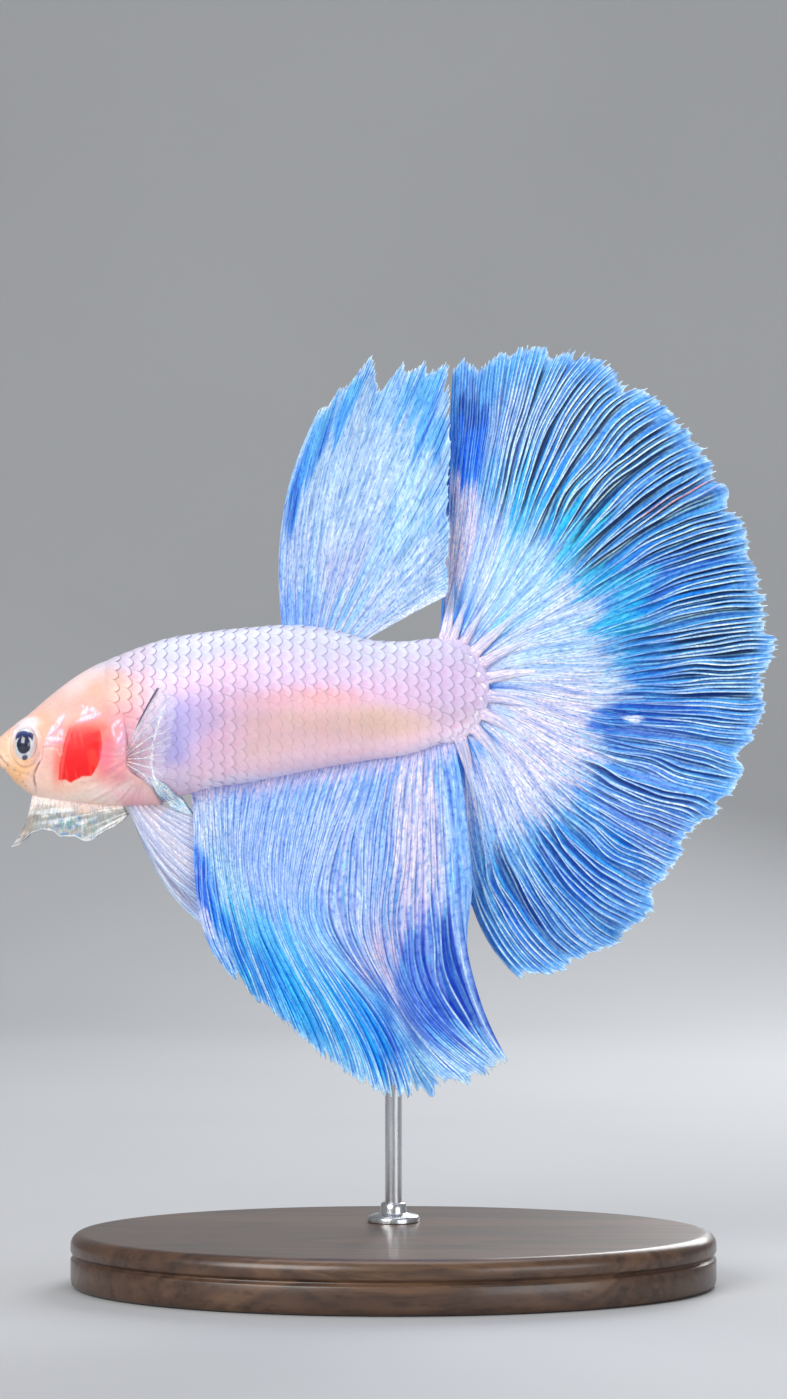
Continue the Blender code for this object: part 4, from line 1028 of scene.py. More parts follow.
class Rays:
    """The rays of a fin: each primary ray forks in two at every level, and the branches part until they are almost
    even, so that twins stay a little closer together than their neighbours."""

    def __init__(self, primaries, forks, seed, part=0.24, wander=0.0, twins=0.88):
        self.n0, self.forks, self.seed, self.part, self.wander, self.twins = primaries, forks, seed, part, wander, twins
        self.levels = len(forks)
        self.count = primaries * 2 ** self.levels

    def start(self, level, index):
        """t at which the branch begins; twins share it."""
        if level == 0:
            return np.zeros(np.shape(index))
        parent = np.asarray(index) // 2
        return self.forks[level - 1] + 0.10 * (hashed(parent, parent * 0 + level, self.seed) - 0.5)

    def place(self, level, index, t):
        """s of a branch of that level at t, for t from its own start on."""
        index = np.asarray(index)
        s = (index // 2 ** level + 0.5) / self.n0 + 0 * t
        for k in range(1, level + 1):
            here = index // 2 ** (level - k)
            fine = (here + 0.5) / (self.n0 * 2 ** k)
            coarse = (here // 2 + 0.5) / (self.n0 * 2 ** (k - 1))
            t0 = self.start(k, here)
            uneven = self.twins * (0.90 + 0.20 * hashed(here // 2, here * 0 + k + 60, self.seed))
            s = s + uneven * (fine - coarse) * np.clip((t - t0) / self.part, 0, 1) ** 0.85 * (t > t0)
        if self.wander:
            top = index // 2 ** max(level - 1, 0)
            s = s + self.wander / self.count * noise(top * 3.7 + 0 * t, t * 7.0 + top * 1.3, self.seed + 4) * smooth(t, 0.15, 0.5)
        return s

    def all_at(self, t):
        """Sorted places of all end branches at t (a single number)."""
        k = np.arange(self.count)
        return np.sort(self.place(self.levels, k, np.full(self.count, float(t))))


def build_fin(name, sheet, rays, nodes_replaced, paint, columns, rows, thickness, warp=None, reach=None,
              pleat=0.20, notch=0.03, radius=((0, 0.20), (1, 0.06)), spike=0.004, slot="fin", membrane=None,
              ray_mat=None, start=-0.02, flow=(150.0, 5.0), ray_steps=40, solid=None, past=(0.0, 0.0), both=True):
    """A pleated membrane as one closed thin form, and all of its rays joined as tapering tubes."""
    inner = warp or (lambda r, t: r + 0 * t)
    reach = reach or (lambda s: 1.0 + 0 * s)
    membrane, ray_mat = membrane or FIN, ray_mat or RAY

    def full(r, t):
        c = np.clip(r, 0, 1)
        end = inner(c, reach(inner(c, t * 0 + 1.0)))             # where on the margin the line ends
        t_real = t * reach(end)
        return inner(c, t_real) + (r - c) * (1 - smooth(t, 0.42, 0.66)), t_real

    r = np.linspace(-past[0], 1 + past[1], columns)
    tau = start + (1 - start) * (np.linspace(0, 1, rows) ** 0.92)
    RR, TT = np.meshgrid(r, tau, indexing="ij")
    left, right, gap = np.zeros_like(RR), np.zeros_like(RR), np.zeros(RR.shape, int)
    for j in range(rows):
        places = np.concatenate([[min(-0.5 / rays.count, -past[0] - 1e-4)], rays.all_at(max(tau[j], 0)),
                                 [max(1 + 0.5 / rays.count, 1 + past[1] + 1e-4)]])
        i = np.clip(np.searchsorted(places, r, side="right"), 1, len(places) - 1)
        left[:, j], right[:, j], gap[:, j] = places[i - 1], places[i], i
    wide = np.maximum(right - left, 1e-6)
    x = np.clip((RR - left) / wide, 0, 1)
    s, t = full(RR, TT)
    e = 1e-3
    ua, _, ha = sheet.at(full(RR + e, TT)[0], t)
    ub, _, hb = sheet.at(full(RR - e, TT)[0], t)
    per_r = np.hypot(ua - ub, ha - hb) / (2 * e)
    gap_mm = wide * per_r
    ray_mm = np.minimum(x, 1 - x) * gap_mm                       # distance to the nearest ray
    arch = 4 * x * (1 - x)
    uneven = 0.15 + 1.7 * hashed(gap, gap * 0 + 8, rays.seed) ** 2
    cut = 1 - notch * uneven * arch ** 0.7 * smooth(TT, 0.90, 1.0) * np.clip(gap_mm / 0.7, 0.3, 1.4)
    s, t = full(RR, TT * cut)                                    # drawn in along the rays' own course
    u, y, h = sheet.at(s, t)
    sign = np.where(gap % 2 == 0, 1.0, -0.55)
    y = y + sign * pleat * gap_mm * arch * smooth(TT, 0.03, 0.3)
    P = np.stack([u, y, h], -1)
    N = grid_normals(P)
    thin = thickness * (1 - 0.5 * smooth(TT, 0.7, 1.0))[..., None]
    front, back = P - N * thin / 2, P + N * thin / 2
    luck = hashed(gap, gap * 0 + 3, rays.seed)
    col = paint(s, t, u, h, ray_mm, gap_mm, luck, False, RR, TT, x)
    C, R = columns, rows
    n = C * R
    quads_a = grid_quads(C, R)
    quads_b = quads_a[:, ::-1] + n
    ids = np.arange(n).reshape(C, R)
    loop = np.concatenate([ids[:, 0], ids[-1, 1:], ids[-2::-1, -1], ids[0, -2:0:-1]])
    rim = np.stack([np.roll(loop, -1), loop, loop + n, np.roll(loop, -1) + n], -1)
    verts = np.concatenate([front.reshape(-1, 3), back.reshape(-1, 3)])
    uvs = np.stack([RR * flow[0], TT * flow[1]], -1).reshape(-1, 2)
    floats = None
    if solid is not None:
        floats = {"solid": np.tile(solid(s, t, u, h, ray_mm, gap_mm, False, TT).ravel(), 2)}
    obj = make_mesh(name, world(*verts.T), np.concatenate([quads_a, quads_b, rim]), None,
                    {"paint": np.tile(col.reshape(-1, 3), (2, 1))}, {"flow": np.tile(uvs, (2, 1))}, floats)
    face_outwards(obj)
    add_piece(obj, membrane, slot, *nodes_replaced)

    # rays
    sides = 6
    around = 2 * math.pi * np.arange(sides) / sides
    thick_t, thick_r = [p[0] for p in radius], [p[1] for p in radius]
    V, Q, T3, COL, UV, SOL, base = [], [], [], [], [], [], 0
    for level in range(rays.levels + 1):
        number = rays.n0 * 2 ** level
        for k in range(number):
            t0 = float(rays.start(level, np.array(k)))
            if level < rays.levels:
                t1 = float(rays.start(level + 1, np.array(2 * k))) + 0.035
            else:
                t1 = 1.0 + spike * (2.6 * hashed(np.array([k]), np.array([9]), rays.seed)[0] ** 2 - 0.5)
            if level == 0:
                t0 = start
            steps = max(5, int(ray_steps * (t1 - t0) / (1 + spike)) + 2)
            tt = np.linspace(t0, t1, steps)
            rr = rays.place(level, np.full(steps, k), np.maximum(tt, 0))
            ss, te = full(rr, tt)
            uu, yy, hh = sheet.at(ss, te)
            path = np.stack([uu, yy, hh], -1)
            tangent = np.gradient(path, axis=0)
            tangent /= np.linalg.norm(tangent, axis=1, keepdims=True) + 1e-12
            a = np.cross(tangent, [0, 1, 0])
            a /= np.linalg.norm(a, axis=1, keepdims=True) + 1e-12
            b = np.cross(a, tangent)
            rad = np.interp(tt, thick_t, thick_r)
            rad = rad * (0.85 + 0.30 * hashed(np.array([k]), np.array([level]), rays.seed)[0])
            rad = np.where(tt > 1 - 0.03, rad * (1 - 0.55 * smooth(tt, 0.97, t1)), rad)
            ring = path[:, None] + rad[:, None, None] * (np.cos(around)[None, :, None] * a[:, None]
                                                          + np.sin(around)[None, :, None] * b[:, None] * 1.15)
            cc = paint(ss, te, uu, hh, np.zeros(steps), np.full(steps, 0.6),
                       np.full(steps, hashed(np.array([k]), np.array([level + 40]), rays.seed)[0]), True, rr, tt,
                       np.full(steps, 0.5))
            V.append(ring.reshape(-1, 3))
            V.append(path[[0, -1]] + tangent[[0, -1]] * np.array([[-0.2], [1.2]]) * rad[[0, -1]][:, None])
            COL.append(np.repeat(cc, sides, 0))
            COL.append(cc[[0, -1]])
            if solid is not None:
                so = solid(ss, te, uu, hh, np.zeros(steps), np.full(steps, 0.6), True, tt)
                SOL.append(np.repeat(so, sides))
                SOL.append(so[[0, -1]])
            f = np.stack([rr * flow[0] * 1.0 + 31.7, tt * flow[1] * 2.0], -1)
            UV.append(np.repeat(f, sides, 0))
            UV.append(f[[0, -1]])
            Q.append(grid_quads(steps, sides, base, wrap=True))
            j = np.arange(sides)
            c0, c1 = base + steps * sides, base + steps * sides + 1
            T3.append(np.stack([np.full(sides, c0), base + (j + 1) % sides, base + j], -1))
            T3.append(np.stack([np.full(sides, c1), base + (steps - 1) * sides + j, base + (steps - 1) * sides + (j + 1) % sides], -1))
            base += steps * sides + 2
    ray_obj = make_mesh(name + "_rays", world(*np.concatenate(V).T), np.concatenate(Q), np.concatenate(T3),
                        {"paint": np.concatenate(COL)}, {"flow": np.concatenate(UV)},
                        {"solid": np.concatenate(SOL)} if solid is not None else None)
    face_outwards(ray_obj)
    add_piece(ray_obj, ray_mat, slot)
    return obj, ray_obj


def patches(s, t, table, col, rag_s, rag_t):
    """Lays soft patches over a colour: each has its place and size in shares of the fin, a colour and a strength."""
    for cs, ct, ds, dt, colour, power in table:
        q = np.hypot((s - cs + rag_s) / ds, (t - ct + rag_t) / dt)
        col = mix(col, colour, (1 - smooth(q, 0.72, 1.12)) * power)
    return col


def ray_tint(col):
    """The lit colour of a ray over a membrane of this colour: azure on deep blue, nearly white on pale webs."""
    p = smooth(col[..., 0], 0.10, 0.50)[..., None]
    return np.array((0.22, 0.64, 1.0)) * (1 - p) + np.array((0.68, 0.84, 1.0)) * p


def margin(s, table):
    """The share of the full length that the margin reaches, from a few named crests and hollows."""
    return np.interp(s, [row[0] for row in table], [row[1] for row in table])


# tail fin
CAUDAL_FROM, CAUDAL_TO = math.radians(94), math.radians(-78)


def caudal_base(s):
    a = CAUDAL_FROM + (CAUDAL_TO - CAUDAL_FROM) * s
    return TAIL_HUB[0] + (TAIL_HUB[2] + 0.36) * np.cos(a), TAIL_HUB[1] + (TAIL_HUB[3] + 0.40) * np.sin(a)


def caudal_side(s, t, u, h):
    edges = (1 - smooth(s / 0.16)) + smooth((s - 0.86) / 0.14)
    wave = 1.9 * np.sin(2 * np.pi * (2.05 * s + 0.12)) * smooth((t - 0.08) / 0.92) ** 1.15
    ripple = 0.30 * np.sin(2 * np.pi * (7.3 * s + 0.5 * t)) * smooth(t, 0.35, 1.0)
    return 1.25 * edges * smooth(t / 0.12) + wave * (1 - 0.8 * edges) + ripple


def caudal_warp(r, t):
    """The primary rays leave the tail root closer to its top and bend down as they fan out."""
    return np.clip(r - 0.085 * np.sin(np.pi * np.clip(r, 0, 1)) ** 0.8 * np.clip((0.42 - t) / 0.42, 0, 1.1) ** 1.9, 0, 1)


CAUDAL_MARGIN = (
    (0.0, 0.965), (0.02, 1.0), (0.055, 0.95), (0.10, 1.01), (0.157, 1.01), (0.168, 0.965), (0.18, 1.0), (0.22, 1.01),
    (0.262, 0.965), (0.275, 1.0), (0.32, 1.01), (0.36, 1.0), (0.374, 0.97), (0.383, 1.0), (0.40, 0.962), (0.415, 0.995),
    (0.445, 0.975), (0.47, 1.0), (0.505, 1.0), (0.525, 0.975), (0.535, 1.02), (0.56, 1.005), (0.577, 0.97), (0.60, 0.972),
    (0.61, 1.0), (0.66, 0.995), (0.675, 0.957), (0.69, 1.02), (0.72, 1.04), (0.736, 1.03), (0.756, 0.98), (0.80, 0.98),
    (0.835, 0.947), (0.86, 1.012), (0.875, 0.982), (0.892, 1.0), (0.922, 0.967), (0.945, 0.97), (0.956, 1.003), (0.975, 1.0),
    (0.987, 0.967), (1.0, 1.0))


def caudal_reach(s):
    return margin(s, CAUDAL_MARGIN) + 0.006 * noise(s * 150, s * 0, 15) + 0.004 * noise(s * 420, s * 0, 16)


CAUDAL_GAPS = ((0.27, 0.68, 0.080, 0.28, 1.0), (0.37, 0.68, 0.06, 0.25, 0.95), (0.45, 0.80, 0.06, 0.20, 0.85),
               (0.54, 0.80, 0.09, 0.24, 1.0), (0.62, 0.86, 0.04, 0.14, 0.9), (0.735, 0.68, 0.055, 0.24, 0.75),
               (0.17, 0.58, 0.035, 0.18, 0.45), (0.70, 0.88, 0.05, 0.12, 0.7), (0.79, 0.80, 0.03, 0.15, 0.4),
               (0.925, 0.62, 0.03, 0.16, 0.35), (0.86, 0.62, 0.04, 0.2, 0.25))
DEEP, ROYAL, AZURE, CYAN, SKY = (0.01, 0.05, 0.34), (0.02, 0.14, 0.68), (0.0, 0.25, 0.92), (0.02, 0.50, 0.92), (0.09, 0.40, 0.88)
PERI, ICE = (0.14, 0.24, 0.74), (0.50, 0.74, 0.95)
CAUDAL_PATCHES = (
    (0.55, 0.20, 0.48, 0.24, (0.58, 0.72, 0.94), 0.9), (0.24, 0.26, 0.07, 0.18, (0.36, 0.70, 0.94), 0.9),
    (0.33, 0.24, 0.06, 0.16, (0.34, 0.70, 0.94), 0.8), (0.47, 0.24, 0.06, 0.16, (0.44, 0.72, 0.94), 0.7),
    (0.305, 0.085, 0.035, 0.05, (0.20, 0.68, 0.95), 0.8), (0.115, 0.17, 0.02, 0.05, (0.25, 0.55, 0.95), 0.6),
    (0.62, 0.24, 0.08, 0.20, (0.72, 0.72, 0.90), 0.6), (0.615, 0.44, 0.05, 0.09, (0.62, 0.72, 0.93), 0.8),
    (0.70, 0.44, 0.07, 0.10, (0.66, 0.68, 0.90), 0.75), (0.94, 0.40, 0.05, 0.16, (0.26, 0.50, 0.92), 0.8),
    (0.70, 0.26, 0.13, 0.18, (0.74, 0.68, 0.84), 0.85), (0.80, 0.30, 0.12, 0.18, (0.72, 0.66, 0.84), 0.7),
    (0.92, 0.20, 0.08, 0.16, (0.52, 0.60, 0.88), 0.8),
    (0.05, 0.36, 0.055, 0.22, (0.78, 0.62, 0.80), 0.95), (0.022, 0.22, 0.03, 0.16, (0.86, 0.60, 0.64), 0.8),
    (0.13, 0.44, 0.05, 0.16, (0.50, 0.54, 0.86), 0.6),
    (0.14, 0.68, 0.06, 0.22, (0.20, 0.28, 0.66), 0.7), (0.21, 0.74, 0.05, 0.20, (0.10, 0.25, 0.72), 0.6),
    (0.052, 0.69, 0.045, 0.17, (0.006, 0.12, 0.80), 1.0), (0.05, 0.80, 0.03, 0.07, (0.015, 0.04, 0.36), 0.8),
    (0.012, 0.50, 0.010, 0.17, (0.01, 0.06, 0.46), 0.9), (0.05, 0.93, 0.04, 0.08, (0.14, 0.24, 0.66), 0.7),
    (0.12, 0.92, 0.07, 0.09, SKY, 0.7), (0.225, 0.43, 0.03, 0.09, CYAN, 0.85), (0.345, 0.52, 0.018, 0.13, CYAN, 0.9),
    (0.40, 0.45, 0.03, 0.07, CYAN, 0.85), (0.475, 0.50, 0.03, 0.13, CYAN, 0.95), (0.545, 0.46, 0.02, 0.07, CYAN, 0.8),
    (0.29, 0.50, 0.02, 0.10, CYAN, 0.6), (0.40, 0.66, 0.04, 0.16, AZURE, 0.7), (0.44, 0.68, 0.035, 0.22, ROYAL, 0.75),
    (0.475, 0.72, 0.02, 0.16, AZURE, 0.8),
    (0.20, 0.52, 0.045, 0.13, CYAN, 0.75), (0.28, 0.54, 0.05, 0.12, CYAN, 0.7), (0.335, 0.50, 0.03, 0.16, (0.02, 0.58, 0.95), 0.8),
    (0.24, 0.62, 0.04, 0.12, AZURE, 0.6), (0.13, 0.56, 0.03, 0.12, (0.04, 0.38, 0.90), 0.6), (0.43, 0.54, 0.03, 0.08, (0.02, 0.50, 0.95), 0.8),
    (0.55, 0.58, 0.055, 0.14, (0.03, 0.26, 0.86), 0.85), (0.60, 0.62, 0.05, 0.16, (0.03, 0.18, 0.74), 0.7),
    (0.645, 0.58, 0.050, 0.19, ROYAL, 1.0), (0.645, 0.60, 0.028, 0.14, (0.02, 0.09, 0.56), 0.75),
    (0.69, 0.70, 0.03, 0.20, PERI, 0.7), (0.76, 0.70, 0.045, 0.22, PERI, 0.75), (0.79, 0.84, 0.06, 0.14, (0.20, 0.32, 0.78), 0.7),
    (0.825, 0.73, 0.02, 0.14, AZURE, 0.8), (0.873, 0.64, 0.035, 0.18, ROYAL, 0.95), (0.945, 0.62, 0.028, 0.16, ROYAL, 0.95),
    (0.945, 0.58, 0.015, 0.12, DEEP, 0.7), (0.90, 0.90, 0.09, 0.10, (0.14, 0.36, 0.86), 0.8), (0.985, 0.72, 0.02, 0.25, SKY, 0.7),
    (0.60, 0.95, 0.40, 0.05, (0.16, 0.38, 0.82), 0.6))


def caudal_paint(s, t, u, h, d, w, luck, is_ray, r, tau, x):
    rag_s = 0.016 * noise(r * 95, t * 3.0, 41) + 0.008 * noise(r * 240, t * 5, 43)
    rag_t = 0.055 * noise(r * 70, t * 2.0, 47) + 0.04 * noise(r * 190, t * 4, 53)
    col = np.broadcast_to(np.array((0.11, 0.38, 0.91)), np.shape(s) + (3,)).copy()
    col = patches(s, t, CAUDAL_PATCHES, col, rag_s, rag_t)
    dark = np.zeros(np.shape(s))
    for cs, ct, ds, dt, power in CAUDAL_GAPS:
        q = np.hypot((s - cs + rag_s) / ds, (t - ct + 1.5 * rag_t) / dt)
        dark = np.maximum(dark, (1 - smooth(q, 0.60, 1.15)) * power)
    zone = smooth(s + rag_s, 0.10, 0.18) * (1 - 0.42 * smooth(s + rag_s, 0.58, 0.66))
    zone = zone * smooth(t + rag_t, 0.40, 0.54) * (1 - smooth(t, 0.90, 0.97))
    inner = smooth(s + rag_s, 0.33, 0.40) * (1 - smooth(s, 0.68, 0.74)) * (1 - smooth(t + rag_t, 0.60, 0.74))
    zone = zone * (1 - 0.55 * inner)
    lens = smooth(noise(r * 88, t * 3.2, 83) + 0.5 * (luck - 0.5), 0.02, 0.26) * zone * (1 - smooth(t, 0.84, 0.93))
    if is_ray:
        pale = mix(ray_tint(col), (0.50, 0.84, 1.0), np.maximum(dark, 0.8 * zone))
        worn = smooth(noise(r * 170, t * 9, 79), -0.55, 0.15)
        k = (0.56 + 0.34 * np.maximum(dark, zone) + 0.12 * luck) * (0.66 + 0.34 * worn) * (1 - 0.50 * inner * smooth(t, 0.40, 0.50))
        k = np.where(t < 0.42, 0.62, k)
        cream = (1 - smooth(t, 0.22, 0.48)) * (0.35 + 0.65 * smooth(s, 0.25, 0.55))
        pale = mix(pale, (0.86, 0.74, 0.84), cream * 0.9)
        corner = (1 - smooth(s, 0.08, 0.12)) * smooth(t, 0.46, 0.56)
        pale = mix(pale, (0.86, 0.95, 1.0), (0.30 + 0.40 * smooth(t, 0.3, 0.6) * luck) * (1 - 0.9 * corner))
        k = k * (1 - 0.45 * corner * (1 - smooth(t, 0.88, 0.95)))
        col = mix(col, pale, k)
        red = bell(r - 0.3745, 0.0040) * smooth(t, 0.66, 0.74) * (1 - 0.4 * smooth(t, 0.97, 1.0))
        col = mix(col, (0.86, 0.24, 0.22), red * 0.85)
    else:
        grown = smooth(t, 0.26, 0.50)
        # a dark line runs along the shaded side of each ray, a pale one along the lit side
        broken = 0.55 + 0.45 * smooth(noise(r * 144, t * 16, 69), -0.5, 0.3)
        line = bell(x - 0.20 - 0.10 * (luck - 0.5), 0.12 + 0.07 * luck)
        light = bell(x - 0.84, 0.08)
        col = mix(col, (0.004, 0.026, 0.16), line * grown * (0.72 + 0.26 * dark) * (0.60 + 0.40 * luck) * broken)
        second = smooth(hashed(np.floor(r * 9000).astype(int) * 0 + (luck * 997).astype(int), (luck * 0).astype(int) + 5, 23), 0.35, 0.6)
        col = mix(col, (0.01, 0.06, 0.34), bell(x - 0.66, 0.07) * grown * 0.80 * second * broken)

        fill = smooth(d, 0.045, 0.12) * dark * smooth(luck + 0.45 * noise(r * 130, t * 7, 63), 0.15, 0.45)
        fill = fill * (1 - 0.9 * smooth(x, 0.44 + 0.22 * luck, 0.52 + 0.22 * luck))
        col = mix(col, (0.003, 0.018, 0.055), fill * (1 - 0.45 * light) * 0.96)
        reach = 0.34 + 0.30 * luck + 0.10 * noise(r * 90, t * 6, 75) + 0.22 * lens
        gap = smooth(x, 0.03, 0.07) * (1 - smooth(x, reach, reach + 0.06)) * zone
        gap = gap * smooth(0.5 * luck + 0.6 * noise(r * 110, t * 8, 77), -0.10, 0.12)
        ink = mix(np.broadcast_to(np.array((0.004, 0.020, 0.075)), col.shape), (0.004, 0.034, 0.24), smooth(s, 0.56, 0.66))
        col = mix(col, ink, gap * 0.94)
        middle = 0.48 + 0.12 * noise(r * 60, t * 4, 73)
        roomy = smooth(w, 0.75, 1.05) * np.maximum(dark, zone)
        second = np.maximum(second, roomy)
        col = mix(col, (0.30, 0.66, 1.0), bell(x - middle, 0.060) * grown * 0.85 * second * broken * (1 - 0.45 * lens))
        col = mix(col, (0.50, 0.82, 1.0), bell(x - middle + 0.20, 0.035) * roomy * smooth(w, 1.0, 1.3) * 0.8)
        col = mix(col, (0.04, 0.20, 0.72), bell(x - middle - 0.13, 0.07) * dark * grown * 0.6 * broken)
        col = mix(col, (0.08, 0.50, 1.0), light * grown * (0.55 + 0.3 * luck) * (1 - 0.5 * fill))
        col = mix(col, (0.06, 0.16, 0.66), bell(x - 0.5, 0.16) * (1 - smooth(t, 0.03, 0.06 + 0.20 * luck)) * smooth(luck, 0.55, 0.8) * 0.75)
        col = mix(col, (0.70, 0.72, 0.96), (1 - smooth(t, -0.01, 0.05)) * (1 - smooth(luck, 0.55, 0.8)) * 0.8)
        young = (1 - grown) * smooth(t, 0.06, 0.2)
        col = mix(col, (0.22, 0.36, 0.80), bell(x - 0.2, 0.13) * young * 0.60)
        col = mix(col, (0.76, 0.90, 1.0), bell(x - 0.8, 0.2) * young * 0.5)
        grain = smooth(noise(r * 520, t * 60, 65), 0.15, 0.85) * (1 - dark)
        col = mix(col, (0.10, 0.62, 0.95), grain * bell(t - 0.42, 0.14) * 0.50)
        col = mix(col, (0.92, 0.97, 1.0), smooth(noise(r * 480, t * 52, 67), 0.3, 0.9) * bell(t - 0.30, 0.16) * 0.45)
    col = mix(col, (0.16, 0.50, 0.98), smooth(tau, 0.93, 0.975) * (0.30 if is_ray else 0.45))
    col = mix(col, (0.70, 0.90, 1.0), smooth(tau, 0.978, 0.992) * (0.95 if is_ray else 0.7))
    fleck = (1 - smooth(np.hypot((s - 0.648) / 0.0060, (t - 0.53) / 0.035) + 0.4 * noise(s * 400, t * 60, 71), 0.7, 1.2))
    col = mix(col, (0.80, 0.88, 1.0), fleck * 0.9)
    return np.clip(col, 0, 1)


build_fin("tail_fin", Sheet(CAUDAL_RAYS, caudal_base, caudal_side), Rays(18, (0.13, 0.32, 0.54), 7, 0.22, 0.60),
          ("caudal_fin",), caudal_paint, 1441, 54, 0.07, warp=caudal_warp, reach=caudal_reach,
          pleat=0.24, notch=0.016, radius=((0, 0.13), (0.12, 0.12), (0.35, 0.080), (0.6, 0.085), (0.85, 0.090), (1, 0.075)),
          spike=0.003,
          flow=(270.0, 7.0), ray_steps=56, past=(0.006, 0.020))


def root_ridges(side, word):
    """The bases of the tail fin's rays, lying on the flank of the tail root and running out into the fin."""
    sheet = Sheet(CAUDAL_RAYS, caudal_base, caudal_side)
    sides, steps = 16, 24
    around = 2 * math.pi * np.arange(sides) / sides
    V, Q, T3, COL, UV, first = [], [], [], [], [], 0
    for k in range(10):
        luck = hashed(np.array([k]), np.array([side + 3]), 91)[0]
        s0 = (k + 0.5 + 0.35 * (luck - 0.5)) / 10
        inward, outward = 0.25 + 0.35 * luck, 0.13 + 0.12 * luck
        d = np.concatenate([np.linspace(-inward - 0.36, 0, 12)[:-1], np.linspace(0, outward, steps - 11)])
        tt = np.clip(d, 0, 1)
        u_out, y_out, h_out = sheet.at(caudal_warp(np.full(steps, s0), tt), tt)
        lead = math.atan2(h_out[12] - h_out[11], u_out[12] - u_out[11])
        towards = math.atan2(h_out[11] - TAIL_HUB[1] - 0.3, u_out[11] - (TAIL_HUB[0] - 3.0))
        inner_d = np.minimum(d, 0)
        turn = lead + (towards - lead) * smooth(-inner_d, 0.0, 1.8) * 0.6
        uu = u_out + inner_d * np.cos(turn)
        hh = h_out + inner_d * np.sin(turn)
        share = np.linspace(0, 1, steps)
        rad = (0.42 + 0.26 * luck) * np.interp(share, (0, 0.3, 0.6, 1), (0.9, 1.0, 0.8, 0.08))
        away = np.clip(d / outward, 0, 1)
        tall = 0.30 * (1 - away) ** 1.4 + 0.004
        y = y_out * (d > 0) + side * tall
        path = np.stack([uu, y, hh], -1)
        tangent = np.gradient(path, axis=0)
        tangent /= np.linalg.norm(tangent, axis=1, keepdims=True) + 1e-12
        a = np.cross(tangent, [0, 1, 0])
        a /= np.linalg.norm(a, axis=1, keepdims=True) + 1e-12
        b = np.cross(a, tangent)
        ring = path[:, None] + (rad[:, None] * np.cos(around))[..., None] * a[:, None] + ((0.75 * tall + 0.035)[:, None] * np.sin(around))[..., None] * b[:, None]
        pale = mix(np.broadcast_to(np.array((0.76, 0.64, 0.84)), (steps, 3)), (0.60, 0.76, 0.96), smooth(share, 0.35, 0.9) * 0.95)
        across = np.sin(around)[None, :] * 0 + np.cos(around)[None, :]
        grain = noise(across * 2.6 + 7 * k, share[:, None] * 3.0, 95)
        pale = mix(np.repeat(pale[:, None], sides, 1), (0.92, 0.82, 0.92), smooth(grain, 0.0, 0.5) * 0.7)
        pale = mix(pale, (0.40, 0.52, 0.90), smooth(-grain, 0.1, 0.5) * 0.45 * smooth(share, 0.2, 0.5)[:, None])
        V += [ring.reshape(-1, 3), path[[0, -1]]]
        COL += [pale.reshape(-1, 3), pale[[0, -1], 0]]
        f = np.stack(np.broadcast_arrays(k * 9.1 + 3.0 * np.cos(around)[None, :], share[:, None] * 2.0), -1)
        UV += [f.reshape(-1, 2), f[[0, -1], 0]]
        Q.append(grid_quads(steps, sides, first, wrap=True))
        j = np.arange(sides)
        c0, c1 = first + steps * sides, first + steps * sides + 1
        T3.append(np.stack([np.full(sides, c0), first + (j + 1) % sides, first + j], -1))
        T3.append(np.stack([np.full(sides, c1), first + (steps - 1) * sides + j, first + (steps - 1) * sides + (j + 1) % sides], -1))
        first += steps * sides + 2
    obj = make_mesh("tail_root_rays_" + word, world(*np.concatenate(V).T), np.concatenate(Q), np.concatenate(T3),
                    {"paint": np.concatenate(COL)}, {"flow": np.concatenate(UV)})
    face_outwards(obj)
    return add_piece(obj, RAY, "fin")


for side, word in ((-1, "left"), (1, "right")):
    root_ridges(side, word)


# dorsal fin
def on_back(u):
    return profile(u)[0]


def on_belly(u):
    return profile(u)[1]


def dorsal_base(s):
    u = 26.85 + 8.1 * s
    return u, on_back(u) + 0.10


def dorsal_side(s, t, u, h):
    return (-1.15 * smooth((s - 0.35) / 0.65) * smooth(t / 0.5) - 0.55 * np.sin(2 * np.pi * (1.15 * s + 0.1)) * smooth(t) ** 1.2
            + 0.16 * np.sin(2 * np.pi * (5.6 * s + 0.9 * t + 0.2)) * smooth(t, 0.2, 0.9))


DORSAL_MARGIN = (
    (0.0, 0.99), (0.04, 1.05), (0.075, 1.05), (0.10, 1.0), (0.125, 0.96), (0.155, 0.945), (0.19, 1.005), (0.215, 0.975),
    (0.25, 0.945), (0.275, 0.97), (0.305, 1.015), (0.335, 0.965), (0.385, 0.885), (0.40, 0.885), (0.435, 1.005), (0.455, 0.97),
    (0.50, 0.97), (0.515, 0.995), (0.545, 0.95), (0.57, 0.955), (0.61, 1.02), (0.64, 1.0), (0.67, 1.045), (0.70, 1.03),
    (0.74, 1.06), (0.78, 1.05), (0.86, 1.06), (0.90, 1.05), (1.0, 1.06))


def dorsal_reach(s):
    return margin(s, DORSAL_MARGIN) + 0.004 * noise(s * 90, s * 0, 25)


